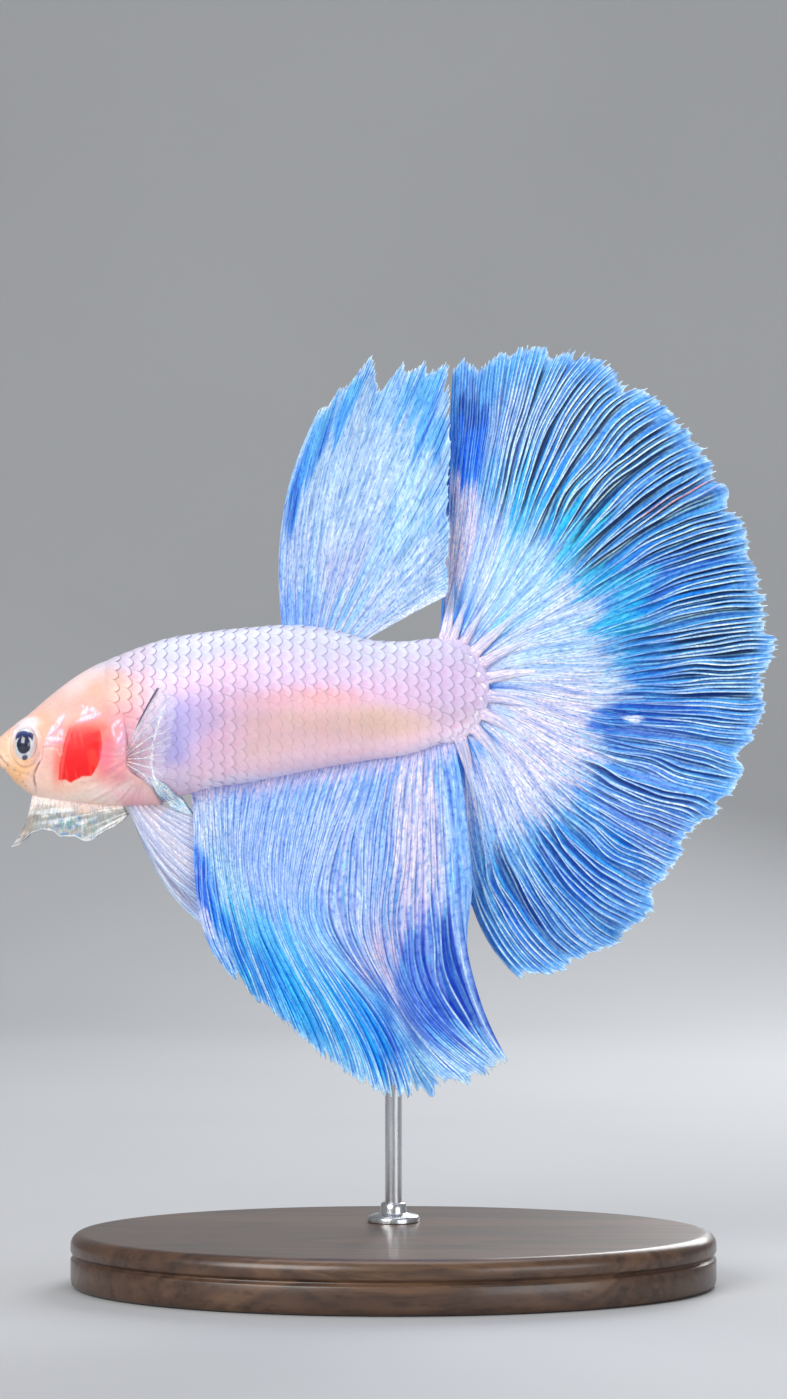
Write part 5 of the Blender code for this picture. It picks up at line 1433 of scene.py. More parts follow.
DORSAL_PATCHES = (
    (0.10, 0.30, 0.18, 0.34, (0.42, 0.55, 0.88), 0.8), (0.45, 0.26, 0.16, 0.16, (0.46, 0.54, 0.86), 0.8),
    (0.40, 0.50, 0.24, 0.26, (0.42, 0.66, 0.93), 0.8), (0.90, 0.45, 0.16, 0.60, (0.46, 0.64, 0.90), 0.85),
    (0.68, 0.62, 0.14, 0.18, (0.42, 0.74, 0.95), 0.85),
    (0.10, 0.04, 0.25, 0.10, (0.20, 0.36, 0.86), 0.9), (0.35, 0.03, 0.22, 0.08, (0.24, 0.38, 0.86), 0.8),
    (0.075, 0.62, 0.055, 0.26, (0.02, 0.26, 0.88), 0.95), (0.06, 0.58, 0.035, 0.16, (0.0, 0.11, 0.62), 0.8),
    (0.15, 0.72, 0.045, 0.16, (0.02, 0.28, 0.90), 0.85), (0.195, 0.80, 0.040, 0.14, (0.0, 0.16, 0.84), 0.95),
    (0.16, 0.88, 0.05, 0.08, (0.06, 0.42, 0.90), 0.8), (0.11, 0.84, 0.05, 0.12, (0.05, 0.36, 0.90), 0.8),
    (0.285, 0.80, 0.050, 0.14, (0.04, 0.42, 0.92), 0.85), (0.27, 0.74, 0.022, 0.10, (0.01, 0.22, 0.84), 0.7),
    (0.58, 0.88, 0.085, 0.14, (0.05, 0.42, 0.92), 0.8), (0.50, 0.82, 0.03, 0.10, (0.12, 0.46, 0.92), 0.6),
    (0.70, 0.90, 0.04, 0.11, (0.04, 0.36, 0.88), 0.8), (0.62, 0.78, 0.025, 0.10, (0.05, 0.40, 0.90), 0.7), (0.62, 0.92, 0.018, 0.10, (0.0, 0.14, 0.74), 0.8),
    (0.78, 0.82, 0.02, 0.12, (0.12, 0.46, 0.92), 0.5), (0.43, 0.84, 0.05, 0.12, (0.24, 0.54, 0.93), 0.6),
    (0.03, 0.45, 0.022, 0.34, (0.22, 0.46, 0.93), 0.7))


def dorsal_paint(s, t, u, h, d, w, luck, is_ray, r, tau, x):
    rag_s = 0.026 * noise(r * 60, t * 4.0, 141) + 0.014 * noise(r * 150, t * 6, 143)
    rag_t = 0.070 * noise(r * 45, t * 2.5, 147) + 0.05 * noise(r * 120, t * 5, 153)
    col = np.broadcast_to(np.array((0.34, 0.60, 0.93)), np.shape(s) + (3,)).copy()
    col = patches(s, t, DORSAL_PATCHES, col, rag_s, rag_t)
    webs = smooth(col[..., 0], 0.12, 0.36)
    blotch = smooth(noise(r * 34, t * 9, 161) + 0.6 * noise(r * 90, t * 26, 163), 0.05, 0.9)
    mid = smooth(t, 0.10, 0.26) * (1 - 0.6 * smooth(t, 0.62, 0.9)) * webs
    col = mix(col, (0.66, 0.78, 0.96), blotch * 0.36 * mid)
    speck = smooth(noise(r * 210, t * 46, 165), 0.25, 0.9)
    col = mix(col, (0.84, 0.92, 1.0), speck * 0.42 * mid)
    col = mix(col, (0.10, 0.50, 0.92), smooth(noise(r * 190, t * 40, 167), 0.45, 0.95) * 0.5 * smooth(s, 0.4, 0.6) * smooth(t, 0.4, 0.6))
    if is_ray:
        col = mix(col, ray_tint(col), 0.34 + 0.26 * luck)
        col = mix(col, (0.72, 0.58, 0.74), (1 - smooth(t, 0.2, 0.6)) * 0.45 * smooth(s, 0.2, 0.5))
    else:
        # painted shade along the shaded side of each ray and a painted highlight along its lit side
        line = bell(x - 0.24, 0.16)
        col = mix(col, (0.28, 0.34, 0.72), line * (0.26 + 0.22 * luck) * smooth(t, 0.05, 0.2))
        col = mix(col, ray_tint(col), bell(x - 0.80, 0.16) * 0.35)
    col = col * np.array([0.92, 0.93, 0.95])
    col = mix(col, (0.24, 0.58, 1.0), smooth(tau, 0.93, 0.975) * 0.3)
    col = mix(col, (0.72, 0.90, 1.0), smooth(tau, 0.978, 0.992) * (0.95 if is_ray else 0.7))
    col = mix(col, (0.82, 0.88, 1.0), smooth(s, 0.955, 1.0) * 0.7)
    return np.clip(col, 0, 1)


build_fin("back_fin", Sheet(DORSAL_RAYS, dorsal_base, dorsal_side), Rays(11, (0.22, 0.44, 0.68), 17, 0.26, 0.45),
          ("dorsal_fin",), dorsal_paint, 560, 52, 0.08, reach=dorsal_reach, pleat=0.20, notch=0.020,
          radius=((0, 0.15), (0.3, 0.085), (0.7, 0.070), (1, 0.065)), spike=0.004, flow=(70.0, 6.0), ray_steps=48,
          past=(0.004, 0.004))


# anal fin
def anal_base(s):
    u = 18.5 + 23.3 * s
    return u, on_belly(u) - 0.10


ANAL_FOLDS = (                        # (place at the base, places at growing shares of the length): the rays sweep forward
    (0.00, 0.000, 0.000, 0.000, 0.000, 0.000, 0.000, 0.000, 0.000, 0.000, 0.000),
    (0.10, 0.098, 0.095, 0.090, 0.086, 0.084, 0.084, 0.085, 0.088, 0.092, 0.095),
    (0.24, 0.223, 0.198, 0.176, 0.162, 0.154, 0.150, 0.153, 0.160, 0.172, 0.186),
    (0.34, 0.314, 0.280, 0.247, 0.228, 0.215, 0.214, 0.229, 0.256, 0.284, 0.318),
    (0.46, 0.430, 0.388, 0.352, 0.314, 0.295, 0.297, 0.325, 0.372, 0.413, 0.436),
    (0.55, 0.510, 0.464, 0.406, 0.358, 0.336, 0.352, 0.395, 0.450, 0.500, 0.540),
    (0.60, 0.560, 0.516, 0.460, 0.402, 0.378, 0.420, 0.500, 0.568, 0.615, 0.645),
    (0.68, 0.636, 0.572, 0.508, 0.456, 0.440, 0.490, 0.580, 0.660, 0.725, 0.775),
    (0.74, 0.712, 0.662, 0.634, 0.600, 0.570, 0.585, 0.645, 0.712, 0.775, 0.830),
    (0.83, 0.806, 0.788, 0.768, 0.730, 0.690, 0.682, 0.712, 0.768, 0.835, 0.895),
    (0.93, 0.920, 0.912, 0.904, 0.892, 0.874, 0.858, 0.858, 0.882, 0.920, 0.960),
    (1.00, 1.000, 1.000, 1.000, 1.000, 1.000, 1.000, 1.000, 1.000, 1.000, 1.000))
FOLD_T = (0.10, 0.20, 0.30, 0.40, 0.50, 0.60, 0.70, 0.80, 0.90, 1.00)
_fold_r = np.linspace(0, 1, 201)
_fold_t = np.concatenate([[0.0], FOLD_T])
_fold_table = np.stack([_fold_r] + [along(ANAL_FOLDS, k + 1, _fold_r) for k in range(len(FOLD_T))], 1)
_fold_table = np.maximum.accumulate(_fold_table, 0)
_fold_fine_t = np.linspace(0, 1, 201)
_fold_fine = np.stack([along(tuple((a, b) for a, b in zip(_fold_t, row)), 1, _fold_fine_t) for row in _fold_table])
_bell_t = np.hanning(31) / np.hanning(31).sum()
_fold_fine = np.stack([np.convolve(np.concatenate([2 * row[0] - row[15:0:-1], row, 2 * row[-1] - row[-2:-17:-1]]), _bell_t, "valid")
                       for row in _fold_fine])
_fold_fine = np.maximum.accumulate(_fold_fine, 0)


def table_lookup(table, x, y):
    """Bilinear reading of a square table over 0..1, 0..1."""
    nx, ny = table.shape
    a, b = np.clip(x, 0, 1) * (nx - 1), np.clip(y, 0, 1) * (ny - 1)
    i, j = np.minimum(a.astype(int), nx - 2), np.minimum(b.astype(int), ny - 2)
    f, g = a - i, b - j
    return (table[i, j] * (1 - f) * (1 - g) + table[i + 1, j] * f * (1 - g)
            + table[i, j + 1] * (1 - f) * g + table[i + 1, j + 1] * f * g)


def anal_warp(r, t):
    r, t = np.broadcast_arrays(np.asarray(r, float), np.asarray(t, float))
    return table_lookup(_fold_fine, r, t)


FOLD_LINE = ((0.68, 0.0), (0.58, 0.19), (0.51, 0.30), (0.455, 0.40), (0.436, 0.49), (0.464, 0.58), (0.527, 0.65),
             (0.618, 0.71), (0.69, 0.79), (0.78, 0.92), (0.845, 1.0))


def fold_place(t):
    return np.interp(t, [p[1] for p in FOLD_LINE], [p[0] for p in FOLD_LINE])


def anal_side(s, t, u, h):
    x = s - fold_place(t)
    ridge = -0.9 * np.exp(-(x / 0.085) ** 2) * smooth(t, 0.38, 0.80)
    step = 0.35 * np.tanh(x / 0.035) * smooth(t, 0.42, 0.72)
    front = -1.75 * (1 - smooth(s / 0.22)) * smooth(t / 0.22)
    rear = -1.15 * smooth((s - 0.78) / 0.22) * smooth(t / 0.22)
    wave = 1.5 * np.sin(2 * np.pi * (1.55 * s - 0.35 * t + 0.28)) * smooth((t - 0.1) / 0.9)
    return (front + rear + wave * smooth(s / 0.18) * (1 - 0.75 * smooth((s - 0.8) / 0.2)) + ridge + step
            + 0.16 * np.sin(2 * np.pi * (6.1 * s + 0.6 * t)) * smooth(t, 0.3, 1.0))


ANAL_PATCHES = (
    (0.10, 0.25, 0.14, 0.26, (0.50, 0.64, 0.94), 0.85), (0.03, 0.10, 0.10, 0.16, (0.74, 0.74, 0.90), 0.85), (0.30, 0.22, 0.20, 0.24, (0.36, 0.47, 0.90), 0.85),
    (0.60, 0.30, 0.14, 0.30, (0.46, 0.53, 0.90), 0.85), (0.885, 0.26, 0.085, 0.34, (0.74, 0.62, 0.84), 0.95),
    (0.985, 0.24, 0.025, 0.26, (0.36, 0.58, 0.94), 0.8), (0.97, 0.06, 0.03, 0.08, (0.12, 0.16, 0.48), 0.4),
    (0.10, 0.62, 0.12, 0.20, (0.10, 0.64, 0.98), 0.85), (0.26, 0.66, 0.12, 0.18, (0.05, 0.50, 0.94), 0.9),
    (0.22, 0.86, 0.20, 0.21, (0.0, 0.50, 0.96), 0.95), (0.42, 0.84, 0.16, 0.22, (0.0, 0.48, 0.96), 0.95),
    (0.42, 0.56, 0.09, 0.14, (0.18, 0.46, 0.93), 0.7), (0.08, 0.42, 0.10, 0.14, (0.40, 0.70, 0.98), 0.8),
    (0.018, 0.52, 0.050, 0.24, (0.0, 0.18, 0.92), 1.0), (0.016, 0.50, 0.022, 0.18, (0.0, 0.08, 0.72), 0.8),
    (0.075, 0.72, 0.036, 0.14, (0.0, 0.24, 0.92), 0.85), (0.12, 0.84, 0.036, 0.12, (0.0, 0.22, 0.88), 0.7),
    (0.012, 0.74, 0.016, 0.12, (0.66, 0.72, 0.94), 0.8), (0.05, 0.86, 0.02, 0.10, (0.50, 0.66, 0.94), 0.6),
    (0.18, 0.78, 0.02, 0.12, (0.01, 0.26, 0.88), 0.7), (0.25, 0.88, 0.02, 0.10, (0.02, 0.28, 0.90), 0.6),
    (0.30, 0.72, 0.03, 0.10, (0.03, 0.38, 0.92), 0.7), (0.36, 0.88, 0.035, 0.10, (0.01, 0.34, 0.92), 0.7),
    (0.47, 0.78, 0.10, 0.16, (0.0, 0.36, 0.93), 0.9), (0.50, 0.80, 0.06, 0.12, (0.0, 0.34, 0.93), 0.85), (0.585, 0.79, 0.070, 0.12, (0.0, 0.27, 0.92), 1.0),
    (0.62, 0.78, 0.03, 0.08, (0.0, 0.10, 0.72), 0.8), (0.66, 0.90, 0.05, 0.08, (0.02, 0.36, 0.92), 0.8),
    (0.70, 0.62, 0.06, 0.12, (0.46, 0.44, 0.80), 0.8), (0.80, 0.74, 0.10, 0.20, (0.09, 0.17, 0.72), 0.9),
    (0.90, 0.67, 0.06, 0.22, (0.14, 0.21, 0.74), 0.80), (0.945, 0.72, 0.035, 0.22, (0.015, 0.045, 0.48), 0.95),
    (0.86, 0.84, 0.06, 0.10, (0.015, 0.08, 0.62), 0.7), (0.80, 0.93, 0.10, 0.06, (0.10, 0.44, 0.92), 0.8),
    (0.985, 0.62, 0.012, 0.40, (0.36, 0.55, 0.94), 0.7), (0.93, 0.95, 0.08, 0.06, (0.18, 0.50, 0.94), 0.8),
    (0.30, 0.97, 0.40, 0.05, (0.20, 0.62, 0.96), 0.6), (0.72, 0.965, 0.26, 0.06, (0.30, 0.70, 0.98), 0.9))

ANAL_MARGIN = (
    (0.0, 0.97), (0.03, 1.02), (0.06, 0.97), (0.09, 1.015), (0.11, 0.985), (0.14, 1.0), (0.19, 1.02), (0.20, 1.008),
    (0.235, 1.022), (0.27, 1.02), (0.31, 1.003), (0.375, 1.004), (0.40, 0.993), (0.43, 0.997), (0.46, 0.983),
    (0.485, 0.996), (0.51, 0.982), (0.53, 1.0), (0.55, 0.985), (0.57, 1.002), (0.592, 0.988), (0.62, 1.002), (0.643, 0.985),
    (0.66, 1.01), (0.685, 0.990), (0.705, 1.005), (0.72, 1.0), (0.744, 1.038), (0.77, 1.0), (0.82, 1.003), (0.866, 1.032),
    (0.88, 1.003), (0.93, 1.025), (0.945, 1.008), (1.0, 1.01))


def anal_paint(s, t, u, h, d, w, luck, is_ray, r, tau, x):
    rag_s = 0.020 * noise(r * 90, t * 3.5, 241) + 0.012 * noise(r * 230, t * 6, 243)
    rag_t = 0.060 * noise(r * 64, t * 2.2, 247) + 0.05 * noise(r * 180, t * 5, 253)
    col = np.broadcast_to(np.array((0.24, 0.42, 0.88)), np.shape(s) + (3,)).copy()
    col = patches(s, t, ANAL_PATCHES, col, rag_s, rag_t)
    band = s + 0.30 * smooth(t, 0.30, 0.75) * (1 - 0.5 * smooth(s, 0.8, 1.0))
    cream = smooth(band, 0.70, 0.84) * (1 - smooth(band, 0.955, 1.0)) * smooth(t, 0.02, 0.10) * (1 - smooth(t, 0.56, 0.74))
    pink = 0.25 + 0.75 * smooth(noise(r * 120, t * 3.0, 261), -0.1, 0.6)
    col = mix(col, (0.92, 0.62, 0.68), cream * pink * (0.62 if is_ray else 0.50))
    glint = smooth(noise(r * 190, t * 30, 271), 0.35, 0.85) * (1 - smooth(t, 0.62, 0.8))
    col = mix(col, (0.14, 0.70, 0.95), glint * 0.45 * (0.35 + 0.65 * smooth(s, 0.30, 0.45)))
    col = mix(col, (0.62, 0.56, 0.92), smooth(noise(r * 170, t * 22, 273), 0.2, 0.9) * 0.35 * (1 - smooth(t, 0.45, 0.65)))
    fold = s - fold_place(t)
    wild = smooth(t, 0.42, 0.70)
    if is_ray:
        pale = mix(ray_tint(col), (0.92, 0.74, 0.80), cream * 0.8)
        white = smooth(luck, 0.50, 0.80)
        pale = mix(pale, (0.84, 0.93, 1.0), 0.35 + wild * (0.42 * white - 0.25))
        k = 0.34 + 0.24 * luck + wild * (0.34 * white - 0.12)
        k = k * (1 - 0.55 * smooth(s, 0.40, 0.50) * (1 - smooth(s, 0.70, 0.77)) * smooth(t, 0.56, 0.68) * (1 - smooth(t, 0.93, 0.98)))
        col = mix(col, pale, k)
        col = mix(col, (0.80, 0.93, 1.0), smooth(t, 0.86, 0.96) * smooth(s, 0.30, 0.50) * 0.60)
    else:
        # painted shade along the shaded side of each ray and a painted highlight along its lit side
        line = bell(x - 0.22, 0.13) * (0.5 + 0.5 * smooth(noise(r * 128, t * 18, 281), -0.5, 0.3))
        light = bell(x - 0.84, 0.10)
        third = bell(x - 0.55 - 0.12 * noise(r * 40, t * 5, 283), 0.08)
        col = mix(col, ray_tint(col), third * (0.30 + 0.35 * luck) * (1 - 0.5 * wild))
        col = mix(col, (0.01, 0.16, 0.80), bell(x - 0.70, 0.08) * wild * (0.3 + 0.5 * luck))
        veil = (1 - wild) * smooth(t, 0.03, 0.12)
        col = mix(col, (0.88, 0.92, 1.0), bell(x - 0.48, 0.12) * smooth(luck, 0.35, 0.7) * smooth(noise(r * 150, t * 12, 291), -0.3, 0.5) * veil * 0.55)
        shade = mix(np.broadcast_to(np.array((0.08, 0.15, 0.60)), col.shape), (0.0, 0.06, 0.52), wild)
        col = mix(col, shade, line * (0.55 + 0.25 * luck + 0.40 * wild).clip(0, 1) * smooth(t, 0.02, 0.08))
        col = mix(col, ray_tint(col), light * (0.26 + 0.2 * luck) * (1 - 0.4 * wild))
        fold_shade = bell(fold - 0.034, 0.034) * smooth(t, 0.44, 0.58)
        col = mix(col, (0.04, 0.07, 0.42), fold_shade * 0.5)
    # painted highlight along the lit side of the fold
    fold_highlight = bell(fold + 0.03, 0.035) * smooth(t, 0.45, 0.6) * (1 - smooth(t, 0.95, 1.0))
    col = mix(col, (0.24, 0.62, 0.98), fold_highlight * 0.30)
    # the fin's root is painted pale lilac: partly the body's colour running into the fin, partly painted light against
    # the shade under the belly
    meet = 1 - smooth(t + 0.020 * noise(r * 75, r * 0, 277) + 0.012 * noise(r * 190, r * 0, 279), 0.012, 0.065)
    high = (1 - smooth(t, 0.40, 0.62))[..., None]
    col = np.clip(col * (1 + high * np.array([-0.15, -0.03, 0.03])), 0, 1)
    col = mix(col, (0.66, 0.60, 0.90), meet * 0.75)
    col = mix(col, (0.20, 0.54, 0.98), smooth(tau, 0.93, 0.975) * 0.35)
    col = mix(col, (0.70, 0.90, 1.0), smooth(tau, 0.978, 0.992) * (0.95 if is_ray else 0.7))
    return np.clip(col, 0, 1)


def anal_reach(s):
    return margin(s, ANAL_MARGIN) + 0.004 * noise(s * 140, s * 0, 35)


build_fin("belly_fin", Sheet(ANAL_RAYS, anal_base, anal_side), Rays(32, (0.06,), 27, 0.16, 0.45),
          ("anal_fin",), anal_paint, 1201, 54, 0.08, warp=anal_warp, reach=anal_reach, pleat=0.22, notch=0.020,
          radius=((0, 0.10), (0.3, 0.080), (0.5, 0.095), (0.8, 0.105), (1, 0.085)), spike=0.004, flow=(92.0, 7.0), ray_steps=54,
          past=(0.004, 0.045))


# ------------------------------------------------------------------ the paired fins and the gill membranes
PECTORAL_RAYS = (
    (0.0, 6.5, 65, 62, 58), (0.2, 6.8, 52, 50, 46), (0.4, 5.0, 34, 31, 26), (0.6, 4.0, 10, 8, 5), (0.8, 3.8, -14, -17, -20),
    (1.0, 3.4, -36, -40, -44))
# points of a painted highlight line across the side fin
PECTORAL_HIGHLIGHT_LINE = ((16.85, 0.40), (16.1, -1.05), (15.55, -2.99), (15.25, -4.05), (15.12, -5.82), (15.3, -6.88), (15.75, -7.77))
PELVIC_RAYS = (
    (0.0, 11.2, -68, -55, -30), (0.25, 10.4, -60, -45, -30), (0.5, 8.4, -48, -38, -28), (0.75, 6.4, -36, -30, -22),
    (1.0, 5.0, -22, -20, -16))
GILL_RAYS = (
    (0.0, 5.5, -97, -110, -128), (0.035, 5.2, -97, -109, -126), (0.10, 3.7, -98, -104, -112), (0.17, 3.05, -97, -98, -100), (0.27, 3.0, -94, -94, -95),
    (0.36, 3.40, -92, -92, -92), (0.42, 3.25, -90, -90, -90), (0.50, 3.35, -88, -87, -86), (0.57, 3.65, -84, -83, -82), (0.67, 3.05, -80, -79, -77),
    (0.80, 2.35, -76, -75, -72), (0.90, 1.85, -72, -71, -68), (1.0, 1.2, -66, -64, -60))


def pectoral_base(s):
    return 12.75 + 0.15 * np.sin(math.pi * s), -4.35 - 1.7 * s


def pectoral_paint(s, t, u, h, d, w, luck, is_ray, r, tau, x):
    col = np.broadcast_to(np.array((0.66, 0.70, 0.80)), np.shape(s) + (3,)).copy()
    col = mix(col, (0.88, 0.92, 0.98), smooth(noise(r * 30, t * 4, 301), -0.2, 0.8) * 0.6)
    if is_ray:
        col = mix(col, (0.94, 0.96, 1.0), 0.8)
    col = mix(col, (0.80, 0.46, 0.50), (1 - smooth(t, 0.05, 0.25)) * 0.7)
    col = mix(col, (0.13, 0.10, 0.20), (1 - smooth(s, 0.018, 0.045)) * smooth(t, 0.22, 0.4) * (1 - smooth(t, 0.93, 1.0)) * 0.95)
    # painted highlight along a line across the rays
    fold, k = near_line(u, h, PECTORAL_HIGHLIGHT_LINE)
    col = mix(col, (0.96, 0.98, 1.0), bell(fold, 0.09))
    return np.clip(col, 0, 1)


def pectoral_solid(s, t, u, h, d, w, is_ray, tau):
    # the painted highlight line is made nearly opaque
    fold, k = near_line(u, h, PECTORAL_HIGHLIGHT_LINE)
    line = bell(fold, 0.10) * (0.75 + 0.25 * np.sin(9 * k))
    spine = (1 - smooth(s, 0.018, 0.045)) * smooth(t, 0.22, 0.4) * (1 - smooth(t, 0.95, 1.0))
    if is_ray:
        return np.clip(np.maximum(0.80 - 0.60 * smooth(t, 0.45, 0.95) - 0.35 * (1 - smooth(s, 0.1, 0.35)), line), 0, 1)
    web = 0.10 + 0.18 * (1 - smooth(d, 0.02, 0.14)) + 0.12 * smooth(noise(s * 22, t * 5, 303), 0, 1) + 0.16 * (1 - smooth(s, 0.0, 0.4))
    return np.clip(np.maximum(np.maximum(web * (1 - 0.4 * smooth(t, 0.8, 1.0)), line * 0.95), spine * 0.9), 0, 1)


def pelvic_paint(s, t, u, h, d, w, luck, is_ray, r, tau, x):
    col = np.broadcast_to(np.array((0.62, 0.66, 0.88)), np.shape(s) + (3,)).copy()
    col = mix(col, (0.84, 0.78, 0.88), smooth(noise(r * 16, t * 3, 311), -0.3, 0.7) * 0.7)
    col = mix(col, (0.86, 0.62, 0.62), (1 - smooth(t, 0.02, 0.35)) * smooth(s, 0.1, 0.6) * 0.7)
    col = mix(col, (0.30, 0.55, 0.92), smooth(t, 0.72, 0.95) * 0.7)
    if is_ray:
        col = mix(col, (0.86, 0.90, 1.0), 0.75)
    else:
        # painted shade along the shaded side of each ray
        col = mix(col, (0.30, 0.34, 0.60), bell(x - 0.25, 0.16) * 0.45)
    col = mix(col, (0.66, 0.84, 1.0), (1 - smooth(s, 0.0, 0.05)) * 0.7)
    col = mix(col, (0.10, 0.16, 0.36), bell(s - 0.075, 0.022) * 0.45)
    return np.clip(col, 0, 1)


def pelvic_solid(s, t, u, h, d, w, is_ray, tau):
    return np.full(np.shape(s), 0.97) if is_ray else 0.80 + 0.18 * (1 - smooth(d, 0.03, 0.2)) - 0.10 * smooth(t, 0.6, 1.0)


def gill_paint(s, t, u, h, d, w, luck, is_ray, r, tau, x):
    col = np.broadcast_to(np.array((0.52, 0.53, 0.50)), np.shape(s) + (3,)).copy()
    n = noise(r * 15, t * 5, 321)
    # fine wrinkles fan out from the back of the throat
    angle = np.arctan2(-9.6 - h, 14.6 - u)
    lines = noise(angle * 34, np.hypot(h + 9.6, 14.6 - u) * 0.5, 333)
    col = mix(col, (0.84, 0.85, 0.83), smooth(lines, 0.0, 0.6) * 0.75)
    col = mix(col, (0.26, 0.28, 0.26), smooth(-lines, 0.2, 0.7) * 0.45)
    col = mix(col, (0.34, 0.26, 0.22), (1 - smooth(s, 0.02, 0.14)) * smooth(n + 0.4 * noise(r * 60, t * 9, 323), -0.4, 0.4) * 0.7 * smooth(t, 0.2, 0.5))
    col = mix(col, (0.86, 0.66, 0.60), (1 - smooth(t + 0.12 * lines, 0.06, 0.42)) * 0.80)
    teal = bell(s - 0.46, 0.22) * smooth(t, 0.25, 0.5)
    col = mix(col, (0.10, 0.42, 0.44), teal * smooth(noise(r * 34, t * 8, 325), 0.05, 0.6) * 0.7)
    col = mix(col, (0.08, 0.30, 0.72), teal * smooth(noise(r * 44, t * 12, 327), 0.30, 0.7) * 0.75)
    # painted highlights: white glints over the membrane
    col = mix(col, (0.90, 0.93, 0.94), smooth(noise(r * 26, t * 7, 329), 0.25, 0.8) * 0.7 * smooth(t, 0.15, 0.4))
    if is_ray:
        col = mix(col, (0.86, 0.89, 0.93), 0.35)
    col = mix(col, (0.88, 0.92, 0.92), smooth(tau, 0.955, 0.985) * 0.85)
    return np.clip(col, 0, 1)


def gill_solid(s, t, u, h, d, w, is_ray, tau):
    if is_ray:
        return np.full(np.shape(s), 0.6)
    angle = np.arctan2(-9.6 - h, 14.6 - u)
    lines = noise(angle * 34, np.hypot(h + 9.6, 14.6 - u) * 0.5, 333)
    return np.clip(0.56 + 0.30 * smooth(lines, 0.0, 0.6) + 0.4 * (1 - smooth(t, 0.1, 0.45)) + 0.25 * smooth(noise(s * 20, t * 6, 331), 0, 1)
                   + 0.35 * (1 - smooth(s, 0.04, 0.12)) + 0.3 * smooth(tau, 0.955, 0.985), 0, 1)


